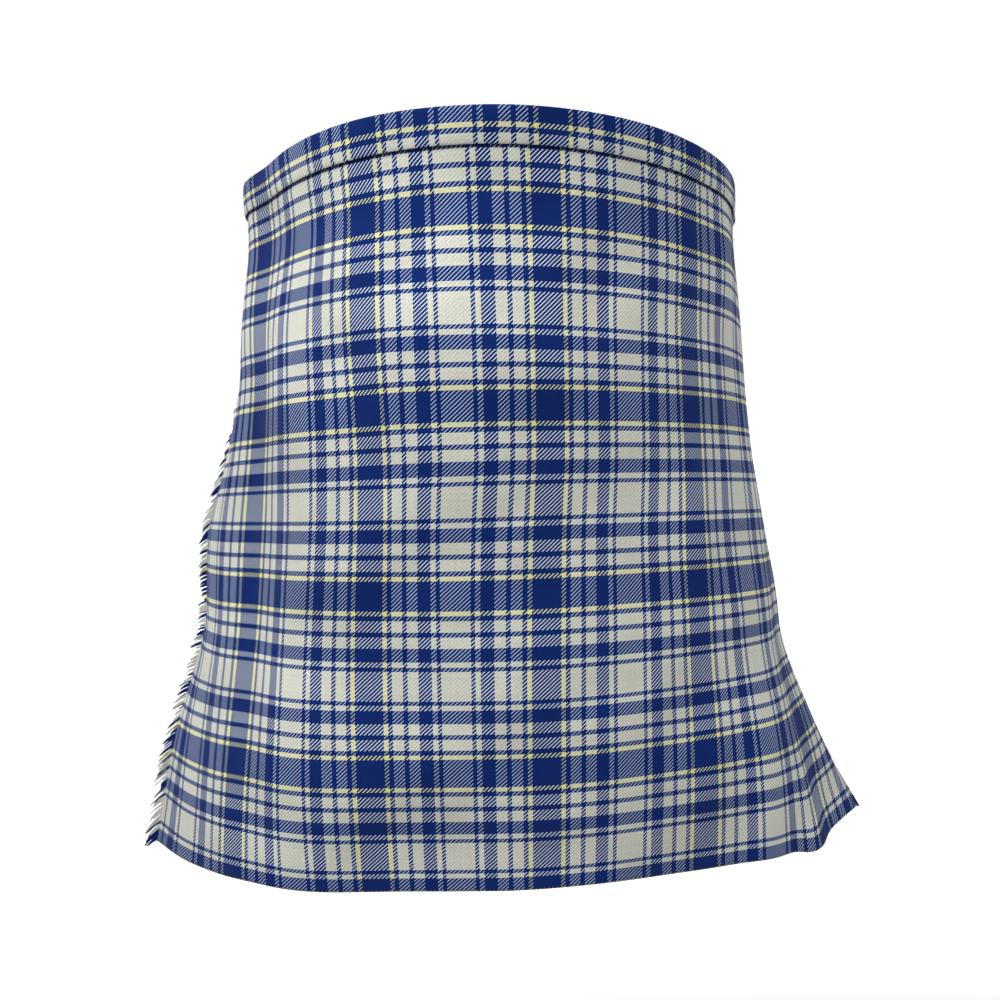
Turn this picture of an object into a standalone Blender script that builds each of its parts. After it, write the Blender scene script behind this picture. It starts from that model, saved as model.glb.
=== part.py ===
"""Scottish kilt, fastened round a general figure: over apron with its fringed
edge, under apron, knife-pleated back, waistband and hip straps.

Metres, +Z up.  The wearer faces -Y, so the wearer's right is at -X.  The
origin is the centre of the waist opening.

The cloth is worked out from horizontal rings.  Each row of SECTIONS is one
ring of the garment, named by how far down the cloth it lies.  The table is in
millimetres, in a frame whose rings are level; the whole garment then sits at
the waist with RAKE degrees of tilt (front edge high), as a kilt does.
"""
import math

import bmesh
import bpy
import numpy as np

# ---------------------------------------------------------------- sizes ----
MM = 0.001
SETT = 142.0            # one repeat of the tartan across the cloth, mm
SETT_DOWN = 143.3       # one repeat down the cloth, mm
RAKE = 6.0              # tilt of the rings, degrees
CLOTH = 1.6             # wall thickness of one layer of cloth
GAP = 0.45              # clearance between pieces that touch

# Where things lie on the cloth, in setts (across from the dark pivot nearest
# the front, down from the first dark pivot under the band)
V_TOP = -0.48           # folded top edge of the waistband
V_BAND = -0.30          # lower edge of the waistband
V_HEM = 3.72            # hem
U_FRINGE = -2.87        # fringed edge of the over apron (straight grain)
FRINGE_REACH = 14.0     # mm that the frayed yarns stand past the edge
FRINGE_FLARE = ((-0.30, 5.0), (0.40, 18.0), (0.90, 44.0), (2.00, 58.0), (3.72, 62.0))  # degrees out
TAPER = (               # (down, across): shaped left edge of the over apron
    (-0.48, 2.00), (-0.28, 2.00), (0.60, 2.15), (1.40, 2.30), (2.40, 2.43), (3.72, 2.43))
U_SEAM = -2.50          # seam of the pleated back and the under apron

COLUMNS = ("down", "mid_x", "front_y", "half_right", "half_left", "front_depth",
           "back_depth", "zero_x", "front_z", "lift_right", "lift_left",
           "lift_back", "round_right", "round_left", "round_back")
SECTIONS = (
    (-0.48, -7.8, -10.9, 201.6, 233.0, 266.6, 140.0, 41.0, 281.8, -14.7, -19.3, 14.0, 2.15, 1.91, 2.3),
    (0.00, -15.8, 5.4, 204.1, 241.8, 257.8, 140.0, 41.0, 212.6, -6.8, -14.8, 14.0, 1.86, 1.89, 2.3),
    (0.60, -23.9, 5.4, 206.7, 253.1, 243.6, 158.0, 40.4, 126.2, -1.7, -7.5, 12.0, 1.97, 1.70, 2.3),
    (1.20, -15.2, 26.4, 237.6, 253.7, 231.6, 170.0, 39.6, 41.7, -3.2, -2.2, 10.0, 1.88, 1.65, 2.3),
    (1.70, -1.0, 41.0, 273.2, 254.4, 220.1, 182.0, 35.5, -29.5, 4.0, -3.9, 8.0, 1.69, 1.55, 2.3),
    (2.30, 7.5, 63.3, 290.2, 256.3, 208.8, 194.0, 32.6, -116.6, 6.2, 0.6, 6.0, 1.76, 1.69, 2.3),
    (3.00, -2.4, 85.8, 313.5, 290.7, 188.0, 216.0, 30.6, -217.3, 2.4, 6.5, 6.0, 1.63, 1.76, 2.3),
    (3.72, -6.5, 123.1, 334.4, 343.1, 157.4, 246.0, 28.9, -323.1, 5.6, 4.9, 8.0, 1.62, 1.55, 2.3),
)

# Main folds of the over apron: soft ridges (+) and troughs (-)
FOLD_COLUMNS = ("across", "down", "half_width", "half_length", "rise", "lean")
FOLDS = (               # setts, setts, setts, setts, mm, setts per sett
    (1.47, 3.78, 0.17, 1.10, 5.5, -0.05),
    (2.08, 2.26, 0.23, 1.59, -6.9, -0.10),
    (1.03, 1.68, 0.16, 0.34, 3.0, 0.20),
    (-0.75, 1.07, 0.26, 0.92, 7.0, 0.21),
    (-1.92, 1.43, 0.22, 1.41, -8.5, 0.03),
    (-2.04, 3.35, 0.23, 0.94, 4.3, 0.08),
    (-1.43, 3.37, 0.49, 1.25, 21.8, -0.09),
    (2.44, 3.79, 0.29, 0.59, -1.5, -0.02),
    (-2.19, -0.26, 0.27, 0.69, 15.9, -0.01),
    (2.24, -0.50, 0.33, 0.45, -9.5, 0.00),
    (1.46, 0.06, 0.21, 0.38, 3.7, 0.01),
    (1.90, 3.67, 0.11, 0.41, 7.5, 0.11),
    (2.08, 3.51, 0.31, 0.30, -6.4, 0.00),
    (-2.15, -0.22, 0.31, 0.35, -5.4, -0.04),
)

# Where the hem rides up at a corner, soft swellings of the cloth's height
LIFT_COLUMNS = ("across", "down", "half_width", "half_length", "rise")
LIFTS = (               # setts, setts, setts, setts, mm
    (2.36, 3.85, 0.33, 0.71, 17.9),
    (-2.77, 3.56, 0.29, 0.60, 9.0),
    (1.84, 3.89, 0.13, 0.50, -7.0),
)

# Rows at which the walls have a ring
ROWS = (-0.460, -0.30, -0.27, 0.10, 0.60, 1.10, 1.60, 2.10, 2.60, 3.00, 3.40, 3.72)
APRON_STEPS = 44
UNDER_STEPS = 30

U_UNDER = 1.45          # free edge of the under apron, towards the wearer's left
PLEATS = 26
# depth of the layers under the over apron, and the pleated back's start, set
# back from the over apron's left edge
INNER_OFF = ((-0.48, -4.4), (0.0, -4.8), (1.0, -6.0), (3.72, -7.0))
PLEAT_START = ((-0.48, -0.26), (3.72, -0.30))
SLOT = 0.12             # at the band the pleats start this far past it, for the strap
PLEAT_STEP = ((-0.48, 1.4), (0.60, 1.8), (1.20, 2.6), (2.40, 5.0), (3.72, 8.0))

STRAP_W = 25.0          # leather strap width, inside the band's height
STRAP_T = 2.4
BAR_R = 1.7             # buckle wire radius
BUCKLE_L = 27.0         # heel bar to tip bar
BUCKLE_W = 34.0

COLOURS = {
    "tartan": ((0.20, 0.24, 0.42), 0.85, 0.0),
    "fringe": ((0.30, 0.32, 0.45), 0.9, 0.0),
    "leather": ((0.02, 0.018, 0.016), 0.45, 0.0),
    "metal": ((0.75, 0.75, 0.76), 0.25, 1.0),
}


# --------------------------------------------------------------- maths -----
def smooth_table(xs, ys, x):
    """Monotone cubic through a short table (no overshoot between rows)."""
    xs = np.asarray(xs, float)
    ys = np.asarray(ys, float)
    h = np.diff(xs)
    d = np.diff(ys) / h
    m = np.zeros_like(ys)
    m[0], m[-1] = d[0], d[-1]
    for i in range(1, len(xs) - 1):
        if d[i - 1] * d[i] > 0:
            w1 = 2 * h[i] + h[i - 1]
            w2 = h[i] + 2 * h[i - 1]
            m[i] = (w1 + w2) / (w1 / d[i - 1] + w2 / d[i])
    i = int(np.clip(np.searchsorted(xs, x) - 1, 0, len(xs) - 2))
    t = (x - xs[i]) / h[i]
    return (ys[i] * (1 + 2 * t) * (1 - t) ** 2 + m[i] * h[i] * t * (1 - t) ** 2
            + ys[i + 1] * t * t * (3 - 2 * t) + m[i + 1] * h[i] * t * t * (t - 1))


def linear(table, x):
    return float(np.interp(x, [r[0] for r in table], [r[1] for r in table]))


def section_values(v):
    rows = np.array(SECTIONS)
    return {name: float(smooth_table(rows[:, 0], rows[:, k], v))
            for k, name in enumerate(COLUMNS)}


def rake(x, y, z):
    """From the level-ring frame (mm) to the garment's own frame (mm)."""
    a = math.radians(RAKE)
    return (x - MID[0],
            y * math.cos(a) + z * math.sin(a) - MID[1],
            -y * math.sin(a) + z * math.cos(a) - MID[2])


MID = (0.0, 0.0, 0.0)
RING_ANGLES = np.radians(np.linspace(-180.0, 180.0, 1441))


class Ring:
    """One ring of the garment at cloth height v, with or without the folds."""

    def __init__(self, v, folds=True):
        s = section_values(v)
        t = RING_ANGLES
        sn, cs = np.sin(t), np.cos(t)
        front = cs >= 0
        left = sn >= 0
        power = 2.0 / np.where(front, np.where(left, s["round_left"], s["round_right"]),
                               s["round_back"])
        half = np.where(left, s["half_left"], s["half_right"])
        depth = np.where(front, s["front_depth"], s["back_depth"])
        x = s["mid_x"] + half * np.sign(sn) * np.abs(sn) ** power
        y = s["front_y"] + s["front_depth"] - depth * np.sign(cs) * np.abs(cs) ** power
        lift = np.where(left, s["lift_left"], s["lift_right"])
        z = s["front_z"] + np.where(front, lift * (1 - cs),
                                    lift + (s["lift_back"] - lift) * (-cs) ** 2 * (3 + 2 * cs))
        dx, dy = np.gradient(x), np.gradient(y)
        size = np.hypot(dx, dy) + 1e-9
        nx, ny = dy / size, -dx / size
        step = np.hypot(np.diff(x), np.diff(y))
        run = np.concatenate([[0.0], np.cumsum(step)])
        run = (run - self._run_at(run, x, front, s["zero_x"])) / SETT
        if folds:
            push = np.zeros_like(x)
            for across, down, hw, hl, rise, lean in FOLDS:
                dv = v - down
                push += rise * np.exp(-((run - across - lean * dv) / hw) ** 2) \
                    * math.exp(-(dv / hl) ** 2)
            for across, down, hw, hl, rise in LIFTS:
                z = z + rise * np.exp(-((run - across) / hw) ** 2) \
                    * math.exp(-((v - down) / hl) ** 2)
            x, y = x + nx * push, y + ny * push
            step = np.sqrt(np.diff(x) ** 2 + np.diff(y) ** 2 + np.diff(z) ** 2)
            run = np.concatenate([[0.0], np.cumsum(step)])
            run = (run - self._run_at(run, x, front, s["zero_x"])) / SETT
        self.x, self.y, self.z, self.nx, self.ny, self.u = x, y, z, nx, ny, run
        self.t = t

    @staticmethod
    def _run_at(run, x, front, zero_x):
        return float(np.interp(zero_x, x[front], run[front]))

    def _read(self, key, at, off):
        # A quarter turn more than the ring is reached by wrapping round
        p = [np.interp(at, key, a) for a in (self.x, self.y, self.z, self.nx, self.ny)]
        return rake(p[0] + p[3] * off, p[1] + p[4] * off, p[2])

    def around(self):
        """Length of the ring in setts."""
        return float(self.u[-1] - self.u[0])

    def at_u(self, u, off=0.0):
        if u > self.u[-1]:
            u -= self.around()
        return self._read(self.u, u, off)

    def at_angle(self, degrees, off=0.0):
        a = math.radians((degrees + 180.0) % 360.0 - 180.0)
        return self._read(self.t, a, off)

    def angle_of_u(self, u):
        return math.degrees(float(np.interp(u, self.u, self.t)))


_rings = {}


def ring(v, folds=True):
    key = (round(v, 5), folds)
    if key not in _rings:
        _rings[key] = Ring(v, folds)
    return _rings[key]


def set_origin():
    """The middle of the waist opening becomes the origin."""
    global MID
    r = ring(V_TOP, False)
    ends = [r.at_angle(a) for a in (0.0, 90.0, 180.0, 270.0)]
    MID = tuple(sum(p[k] for p in ends) / 4.0 for k in range(3))
    _rings.clear()


# ------------------------------------------------------------ building -----
def clear_scene():
    for ob in list(bpy.data.objects):
        bpy.data.objects.remove(ob, do_unlink=True)


def material(kind, name):
    colour, rough, metal = COLOURS[kind]
    mat = bpy.data.materials.new(name)
    mat.use_nodes = True
    bsdf = mat.node_tree.nodes["Principled BSDF"]
    bsdf.inputs["Base Color"].default_value = (*colour, 1.0)
    bsdf.inputs["Roughness"].default_value = rough
    bsdf.inputs["Metallic"].default_value = metal
    return mat


def finish(bm, name, kind, smooth=True):
    bmesh.ops.recalc_face_normals(bm, faces=bm.faces)
    mesh = bpy.data.meshes.new(name)
    bm.to_mesh(mesh)
    bm.free()
    if smooth:
        mesh.shade_smooth()
        mesh.set_sharp_from_angle(angle=math.radians(35.0))
    ob = bpy.data.objects.new(name, mesh)
    bpy.context.scene.collection.objects.link(ob)
    mesh.materials.append(material(kind, name + "_finish"))
    ob.parent = KILT
    return ob


def wall(name, kind, outer, inner):
    """A closed wall between two equal grids of points (rows by columns), mm."""
    bm = bmesh.new()
    rows, cols = len(outer), len(outer[0])
    a = [[bm.verts.new([c * MM for c in p]) for p in row] for row in outer]
    b = [[bm.verts.new([c * MM for c in p]) for p in row] for row in inner]
    for i in range(rows - 1):
        for j in range(cols - 1):
            bm.faces.new((a[i][j], a[i][j + 1], a[i + 1][j + 1], a[i + 1][j]))
            bm.faces.new((b[i][j], b[i + 1][j], b[i + 1][j + 1], b[i][j + 1]))
    for i in (0, rows - 1):
        for j in range(cols - 1):
            bm.faces.new((a[i][j], a[i][j + 1], b[i][j + 1], b[i][j]))
    for j in (0, cols - 1):
        for i in range(rows - 1):
            bm.faces.new((a[i][j], a[i + 1][j], b[i + 1][j], b[i][j]))
    return finish(bm, name, kind)


def sweep(name, kind, profiles, caps):
    """A closed body through equal outlines, with end caps given as index rows."""
    bm = bmesh.new()
    loops = [[bm.verts.new([c * MM for c in p]) for p in prof] for prof in profiles]
    n = len(loops[0])
    for a, b in zip(loops, loops[1:]):
        for k in range(n):
            bm.faces.new((a[k], a[(k + 1) % n], b[(k + 1) % n], b[k]))
    for end in (loops[0], loops[-1]):
        for cap in caps:
            bm.faces.new([end[k] for k in cap])
    return finish(bm, name, kind)


def apron_right(v):
    return linear(TAPER, v)


def over_apron():
    outer, inner = [], []
    for v in ROWS:
        r = ring(v)
        us = np.linspace(U_FRINGE, apron_right(v), APRON_STEPS + 1)
        outer.append([r.at_u(u) for u in us])
        inner.append([r.at_u(u, -CLOTH) for u in us])
    return wall("over_apron", "tartan", outer, inner)


def fringe():
    outer, inner = [], []
    for v in [v for v in ROWS if v > V_BAND + 0.02]:
        r = ring(v)
        b = math.radians(linear(FRINGE_FLARE, v))
        along, out = FRINGE_REACH * math.cos(b) / SETT, FRINGE_REACH * math.sin(b)
        steps = (0.0, 0.5, 1.0)
        us = [U_FRINGE - GAP / SETT - f * along for f in steps]
        outer.append([r.at_u(u, 0.1 + f * out) for u, f in zip(us, steps)])
        inner.append([r.at_u(u - f * 1.2 / SETT, -CLOTH - 0.1 + f * out) for u, f in zip(us, steps)])
    return wall("fringe", "fringe", outer, inner)


def under_apron():
    outer, inner = [], []
    for v in ROWS:
        r = ring(v)
        off = linear(INNER_OFF, v)
        us = np.linspace(U_SEAM + GAP / SETT, U_UNDER, UNDER_STEPS + 1)
        outer.append([r.at_u(u, off) for u in us])
        inner.append([r.at_u(u, off - CLOTH) for u in us])
    return wall("under_apron", "tartan", outer, inner)


def tucked(v, u):
    """How far in the pleated back lies at this place: on the inner line where
    the over apron covers it, and out on the ring between its two edges."""
    left = apron_right(v) + 0.03
    right = U_FRINGE - FRINGE_REACH / SETT - 0.03 + ring(v).around()
    blend = 0.22
    a = np.clip((u - left) / blend, 0.0, 1.0) * np.clip((right - u) / blend, 0.0, 1.0)
    a = float(a * a * (3 - 2 * a))
    inner = linear(INNER_OFF, v)
    return inner + (-1.2 - inner) * a, a


def pleats():
    outer, inner = [], []
    for v in ROWS:
        r = ring(v)
        start = apron_right(v) + linear(PLEAT_START, v)
        end = U_SEAM + r.around()
        step = linear(PLEAT_STEP, v)
        base = linear(INNER_OFF, v) - CLOTH - 1.6
        row_out, row_in = [], []
        pitch = (end - start) / PLEATS
        for k in range(PLEATS):
            for part, rise in ((0.0, 0.0), (0.93, 1.0)):
                u = start + (k + part) * pitch
                if v < V_BAND + 0.01:       # cut back to leave the strap's slot
                    u = max(u, apron_right(v) + SLOT + 0.006 * (k + part))
                out, free = tucked(v, u)
                low = out - step * 0.5 * free - 0.1
                row_out.append(r.at_u(u, low + step * rise * free))
                row_in.append(r.at_u(u, min(base, low - 2.2)))
        row_out.append(r.at_u(end, tucked(v, end)[0] - 0.1))
        row_in.append(r.at_u(end, base))
        outer.append(row_out)
        inner.append(row_in)
    return wall("pleats", "tartan", outer, inner)


def band(name, at, columns, lip):
    """A folded strip: an outer leg and the lip that covers the top edge."""
    profiles = []
    v_lip = V_TOP + CLOTH / SETT_DOWN
    for c in columns:
        inside = lip(c)
        profiles.append([at(V_BAND, c, GAP + CLOTH), at(V_TOP, c, GAP + CLOTH),
                         at(V_TOP, c, inside), at(v_lip, c, inside),
                         at(v_lip, c, GAP), at(V_BAND, c, GAP)])
    return sweep(name, "tartan", profiles, ((0, 1, 4, 5), (1, 2, 3, 4)))


def waistbands():
    made = []
    right = apron_right(V_TOP)
    made.append(band("waistband_front", lambda v, u, off: ring(v).at_u(u, off),
                     np.linspace(U_FRINGE, right, APRON_STEPS + 1), lambda u: -CLOTH - 0.2))
    start = right + SLOT - 0.03
    end = U_FRINGE - 0.03 + ring(V_TOP).around()
    made.append(band("waistband_back", lambda v, u, off: ring(v).at_u(u, off + 0.3),
                     np.linspace(start, end, 53), lambda u: -8.2))
    inner = linear(INNER_OFF, V_TOP)
    made.append(band("waistband_under", lambda v, u, off: ring(v).at_u(u, off + inner),
                     np.linspace(U_SEAM + GAP / SETT, U_UNDER, UNDER_STEPS + 1),
                     lambda u: -CLOTH - 0.2))
    return made


def ribbon(name, kind, path, v_mid, width, thick, tip=0.0):
    """A strip of leather laid round the ring: path rows are (degrees, height of
    its lower face over the ring, mm); tip narrows the last row to a point."""
    outer, inner = [], []
    half = 0.5 * width / SETT_DOWN
    for side in (-1.0, 1.0):
        row_out, row_in = [], []
        for k, (a, h) in enumerate(path):
            w = half * (1.0 - (tip if k == len(path) - 1 else 0.0))
            v = v_mid + side * w
            r = ring(v)
            row_out.append(r.at_angle(a, h + thick))
            row_in.append(r.at_angle(a, h))
        outer.append(row_out)
        inner.append(row_in)
    return wall(name, kind, outer, inner)


def filled(path, most):
    """The same path with points no further apart than most, so that a strip
    follows the round of the hip."""
    out = [path[0]]
    for (a0, h0), (a1, h1) in zip(path, path[1:]):
        n = max(1, int(math.ceil(abs(a1 - a0) / most)))
        out += [(a0 + (a1 - a0) * k / n, h0 + (h1 - h0) * k / n) for k in range(1, n + 1)]
    return out


def buckle_set(side, heel, way, strap_path, v_mid):
    """Strap, chape, frame and prong at one hip.  way is +1 where the strap runs
    towards rising angles; heel is the angle of the heel bar."""
    r = ring(v_mid, False)
    p, q = r.at_angle(heel), r.at_angle(heel + 1.0)
    per_mm = 1.0 / math.dist(p, q)          # degrees for one millimetre
    lay = GAP + CLOTH + 0.9                 # just over the band's face

    def deg(t):
        return heel + way * t * per_mm

    # chape: sewn tab behind the heel bar, doubled round it
    ht = 2.0
    bar = lay + 4.6
    r_in = (BAR_R + 0.4) / math.cos(math.radians(15.0))
    r_out = r_in + ht
    turns = [math.radians(270.0 - 30.0 * k) for k in range(7)]
    loop = ([(34.0, lay), (8.0, lay)]
            + [(r_out * math.cos(f), bar + r_out * math.sin(f)) for f in turns]
            + [(11.0, lay + 2 * ht + 0.5), (34.0, lay + 2 * ht + 0.5)])
    inside = ([(34.0, lay + ht), (8.0, lay + ht)]
              + [(r_in * math.cos(f), bar + r_in * math.sin(f)) for f in turns]
              + [(11.0, lay + ht + 0.5), (34.0, lay + ht + 0.5)])
    w = 0.5 * 22.0 / SETT_DOWN
    grids = []
    for pts in (loop, inside):
        pts = filled(pts[:2], 6.5) + pts[2:-1] + filled(pts[-2:], 6.0)[1:]
        grids.append([[ring(v_mid + s * w, False).at_angle(deg(t), h) for t, h in pts]
                      for s in (-1.0, 1.0)])
    wall("chape_" + side, "leather", grids[0], grids[1])

    # frame: a wire rectangle with rounded corners, its heel bar inside the chape
    hw, c = 0.5 * BUCKLE_W, 4.0
    outline = []
    for ct, cw, a0 in ((-c, hw - c, 0.0), (-BUCKLE_L + c, hw - c, 90.0),
                       (-BUCKLE_L + c, -hw + c, 180.0), (-c, -hw + c, 270.0)):
        for k in range(4):
            a = math.radians(a0 + 30.0 * k)
            outline.append((ct + c * math.cos(a), cw + c * math.sin(a)))
    n, sides = len(outline), 8
    bm = bmesh.new()
    loops = []
    for k in range(n):
        t0, w0 = outline[k - 1]
        t1, w1 = outline[(k + 1) % n]
        tx, tw = t1 - t0, w1 - w0
        size = math.hypot(tx, tw)
        px, pw = tw / size, -tx / size
        t, wv = outline[k]
        pts = []
        for m in range(sides):
            b = 2 * math.pi * m / sides
            out = BAR_R * math.cos(b)
            pts.append(ring(v_mid + (wv + pw * out) / SETT_DOWN, False)
                       .at_angle(deg(t + px * out), bar + BAR_R * math.sin(b)))
        loops.append([bm.verts.new([cc * MM for cc in pt]) for pt in pts])
    for k in range(n):
        a, b = loops[k], loops[(k + 1) % n]
        for m in range(sides):
            bm.faces.new((a[m], a[(m + 1) % sides], b[(m + 1) % sides], b[m]))
    finish(bm, "buckle_" + side, "metal")

    # prong: from the strap's hole to the tip bar
    prong = [(-9.5, lay + 7.8), (-15.0, lay + 7.2), (-BUCKLE_L - 1.2, lay + 6.8)]
    outer = [[ring(v_mid + s * 1.6 / SETT_DOWN, False).at_angle(deg(t), h + 2.0) for t, h in prong]
             for s in (-1.0, 1.0)]
    inner = [[ring(v_mid + s * 1.6 / SETT_DOWN, False).at_angle(deg(t), h) for t, h in prong]
             for s in (-1.0, 1.0)]
    wall("prong_" + side, "metal", outer, inner)

    # strap: over the cloth, under the tip bar, over the heel bar and the chape
    low = lay + 0.1
    over = bar + r_out + 0.5
    on = lay + 2 * ht + 1.0
    tail = [(-BUCKLE_L - 9.0, low), (-BUCKLE_L + 4.0, low), (-12.0, low + 1.2), (-5.5, over - 0.6),
            (-1.0, over), (3.0, over), (14.0, on + 0.3), (35.0, on), (48.0, low + 1.2), (60.0, low)]
    path = list(strap_path) + [(deg(t), h) for t, h in tail]
    ribbon("strap_" + side, "leather", filled(path, 1.7), v_mid, STRAP_W - 4.0, STRAP_T, tip=0.6)


def straps():
    v_mid = 0.5 * (V_TOP + V_BAND) + 0.005
    top = ring(v_mid)
    lay = GAP + CLOTH + 1.0
    # wearer's right: sewn on the over apron, buckled on the back
    edge = 360.0 + top.angle_of_u(U_FRINGE)
    buckle_set("right", edge - 24.0, -1.0,
               [(edge + a, lay) for a in (7.0, 3.5, 0.0, -3.5, -7.0)], v_mid)
    # wearer's left: sewn inside the under apron, out past the apron's edge
    inside = linear(INNER_OFF, v_mid) - CLOTH - 0.8 - STRAP_T
    slot = apron_right(v_mid)               # millimetres past the apron's edge
    way_out = ((-12.0, -6.4), (-1.5, -4.9), (1.0, -4.3), (8.5, lay - 0.25), (14.0, lay - 0.25))
    path = [(top.angle_of_u(U_UNDER + mm / SETT), inside) for mm in (-26.0, -14.0, -2.0, 8.0)]
    path += [(top.angle_of_u(slot + mm / SETT), h) for mm, h in way_out]
    buckle_set("left", top.angle_of_u(slot + 118.0 / SETT), 1.0, path, v_mid)


clear_scene()
KILT = bpy.data.objects.new("kilt", None)
bpy.context.scene.collection.objects.link(KILT)
set_origin()
over_apron()
fringe()
under_apron()
pleats()
waistbands()
straps()
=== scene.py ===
"""Looks of the scottish kilt: woven tartan shells, frayed edge, knife pleats,
leather straps and buckles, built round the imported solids."""
import math

import bmesh
import bpy
import numpy as np
from mathutils import Matrix, Vector


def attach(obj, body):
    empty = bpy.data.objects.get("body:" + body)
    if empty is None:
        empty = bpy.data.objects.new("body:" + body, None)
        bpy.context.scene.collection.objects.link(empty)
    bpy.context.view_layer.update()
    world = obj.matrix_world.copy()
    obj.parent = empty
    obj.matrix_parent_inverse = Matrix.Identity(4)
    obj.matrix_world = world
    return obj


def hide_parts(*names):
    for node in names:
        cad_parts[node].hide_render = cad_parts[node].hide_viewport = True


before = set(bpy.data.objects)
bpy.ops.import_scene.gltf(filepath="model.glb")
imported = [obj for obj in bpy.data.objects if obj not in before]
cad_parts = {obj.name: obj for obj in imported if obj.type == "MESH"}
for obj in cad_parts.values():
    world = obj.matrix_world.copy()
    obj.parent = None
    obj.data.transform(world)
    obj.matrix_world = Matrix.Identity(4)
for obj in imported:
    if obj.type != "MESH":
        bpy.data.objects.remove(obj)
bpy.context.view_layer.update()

MM = 0.001
SETT = 142.0            # one repeat of the tartan across, mm
SETT_DOWN = 143.3       # one repeat down, mm
ENDS, PICKS = 162.0, 178.0   # yarns in one repeat, across and down
RAKE = 6.0

V_TOP, V_BAND, V_HEM = -0.48, -0.30, 3.72
U_FRINGE, U_SEAM, U_UNDER = -2.87, -2.50, 1.45
FRINGE_REACH = 14.0
TAPER = ((-0.48, 2.00), (-0.28, 2.00), (0.60, 2.15), (1.40, 2.30), (2.40, 2.43), (3.72, 2.43))
INNER_OFF = ((-0.48, -4.4), (0.0, -4.8), (1.0, -6.0), (3.72, -7.0))
PLEAT_STEP = ((-0.48, 1.4), (0.60, 1.8), (1.20, 2.6), (2.40, 5.0), (3.72, 8.0))
PLEAT_BACK = ((-0.48, -0.26), (3.72, -0.30))
SLOT = 0.12
FRINGE_FLARE = ((-0.30, 5.0), (0.40, 18.0), (0.90, 44.0), (2.00, 58.0), (3.72, 62.0))
FRINGE_DROOP = ((-0.30, 0.5), (0.95, 0.6), (1.25, 1.15), (1.60, 1.05), (1.95, 0.45), (2.45, 0.45),
                (2.85, 1.0), (3.72, 1.15))   # how the fringe hangs, place by place
PLEATS = 26
GAP = 0.45
CLOTH = 1.6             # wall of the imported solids; the woven shells are thinner
THIN = 1.3

STRAP_W, STRAP_T = 25.0, 2.4
BAR_R, BUCKLE_L, BUCKLE_W = 1.7, 27.0, 34.0

COLUMNS = ("down", "mid_x", "front_y", "half_right", "half_left", "front_depth",
           "back_depth", "zero_x", "front_z", "lift_right", "lift_left",
           "lift_back", "round_right", "round_left", "round_back")
SECTIONS = (
    (-0.48, -7.8, -10.9, 201.6, 233.0, 266.6, 140.0, 41.0, 281.8, -14.7, -19.3, 14.0, 2.15, 1.91, 2.3),
    (0.00, -15.8, 5.4, 204.1, 241.8, 257.8, 140.0, 41.0, 212.6, -6.8, -14.8, 14.0, 1.86, 1.89, 2.3),
    (0.60, -23.9, 5.4, 206.7, 253.1, 243.6, 158.0, 40.4, 126.2, -1.7, -7.5, 12.0, 1.97, 1.70, 2.3),
    (1.20, -15.2, 26.4, 237.6, 253.7, 231.6, 170.0, 39.6, 41.7, -3.2, -2.2, 10.0, 1.88, 1.65, 2.3),
    (1.70, -1.0, 41.0, 273.2, 254.4, 220.1, 182.0, 35.5, -29.5, 4.0, -3.9, 8.0, 1.69, 1.55, 2.3),
    (2.30, 7.5, 63.3, 290.2, 256.3, 208.8, 194.0, 32.6, -116.6, 6.2, 0.6, 6.0, 1.76, 1.69, 2.3),
    (3.00, -2.4, 85.8, 313.5, 290.7, 188.0, 216.0, 30.6, -217.3, 2.4, 6.5, 6.0, 1.63, 1.76, 2.3),
    (3.72, -6.5, 123.1, 334.4, 343.1, 157.4, 246.0, 28.9, -323.1, 5.6, 4.9, 8.0, 1.62, 1.55, 2.3),
)
# soft ridges (+) and troughs (-): across, down, half width, half length (setts),
# rise (mm), lean (setts across for each sett down)
FOLDS = (
    (1.47, 3.78, 0.17, 1.10, 5.5, -0.05),
    (2.08, 2.26, 0.23, 1.59, -6.9, -0.10),
    (1.03, 1.68, 0.16, 0.34, 3.0, 0.20),
    (-0.75, 1.07, 0.26, 0.92, 7.0, 0.21),
    (-1.92, 1.43, 0.22, 1.41, -8.5, 0.03),
    (-2.04, 3.35, 0.23, 0.94, 4.3, 0.08),
    (-1.43, 3.37, 0.49, 1.25, 21.8, -0.09),
    (2.44, 3.79, 0.29, 0.59, -1.5, -0.02),
    (-2.19, -0.26, 0.27, 0.69, 15.9, -0.01),
    (2.24, -0.50, 0.33, 0.45, -9.5, 0.00),
    (1.46, 0.06, 0.21, 0.38, 3.7, 0.01),
    (1.90, 3.67, 0.11, 0.41, 7.5, 0.11),
    (2.08, 3.51, 0.31, 0.30, -6.4, 0.00),
    (-2.15, -0.22, 0.31, 0.35, -5.4, -0.04),
)

# Where the hem rides up at a corner, soft swellings of the cloth's height
LIFT_COLUMNS = ("across", "down", "half_width", "half_length", "rise")
LIFTS = (               # setts, setts, setts, setts, mm
    (2.36, 3.85, 0.33, 0.71, 17.9),
    (-2.77, 3.56, 0.29, 0.60, 9.0),
    (1.84, 3.89, 0.13, 0.50, -7.0),
)
SMALL_FOLDS = (         # slighter hang of the cloth, uneven
    (0.62, 0.35, 0.16, 0.40, 0.7, 0.03),
    (-1.20, 0.30, 0.18, 0.35, 0.6, -0.04),
    (0.18, 2.70, 0.30, 0.80, 1.6, 0.03),
    (-0.35, 3.20, 0.22, 0.70, -1.8, -0.02),
    (0.75, 3.30, 0.24, 0.70, -2.0, 0.04),
)


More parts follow.
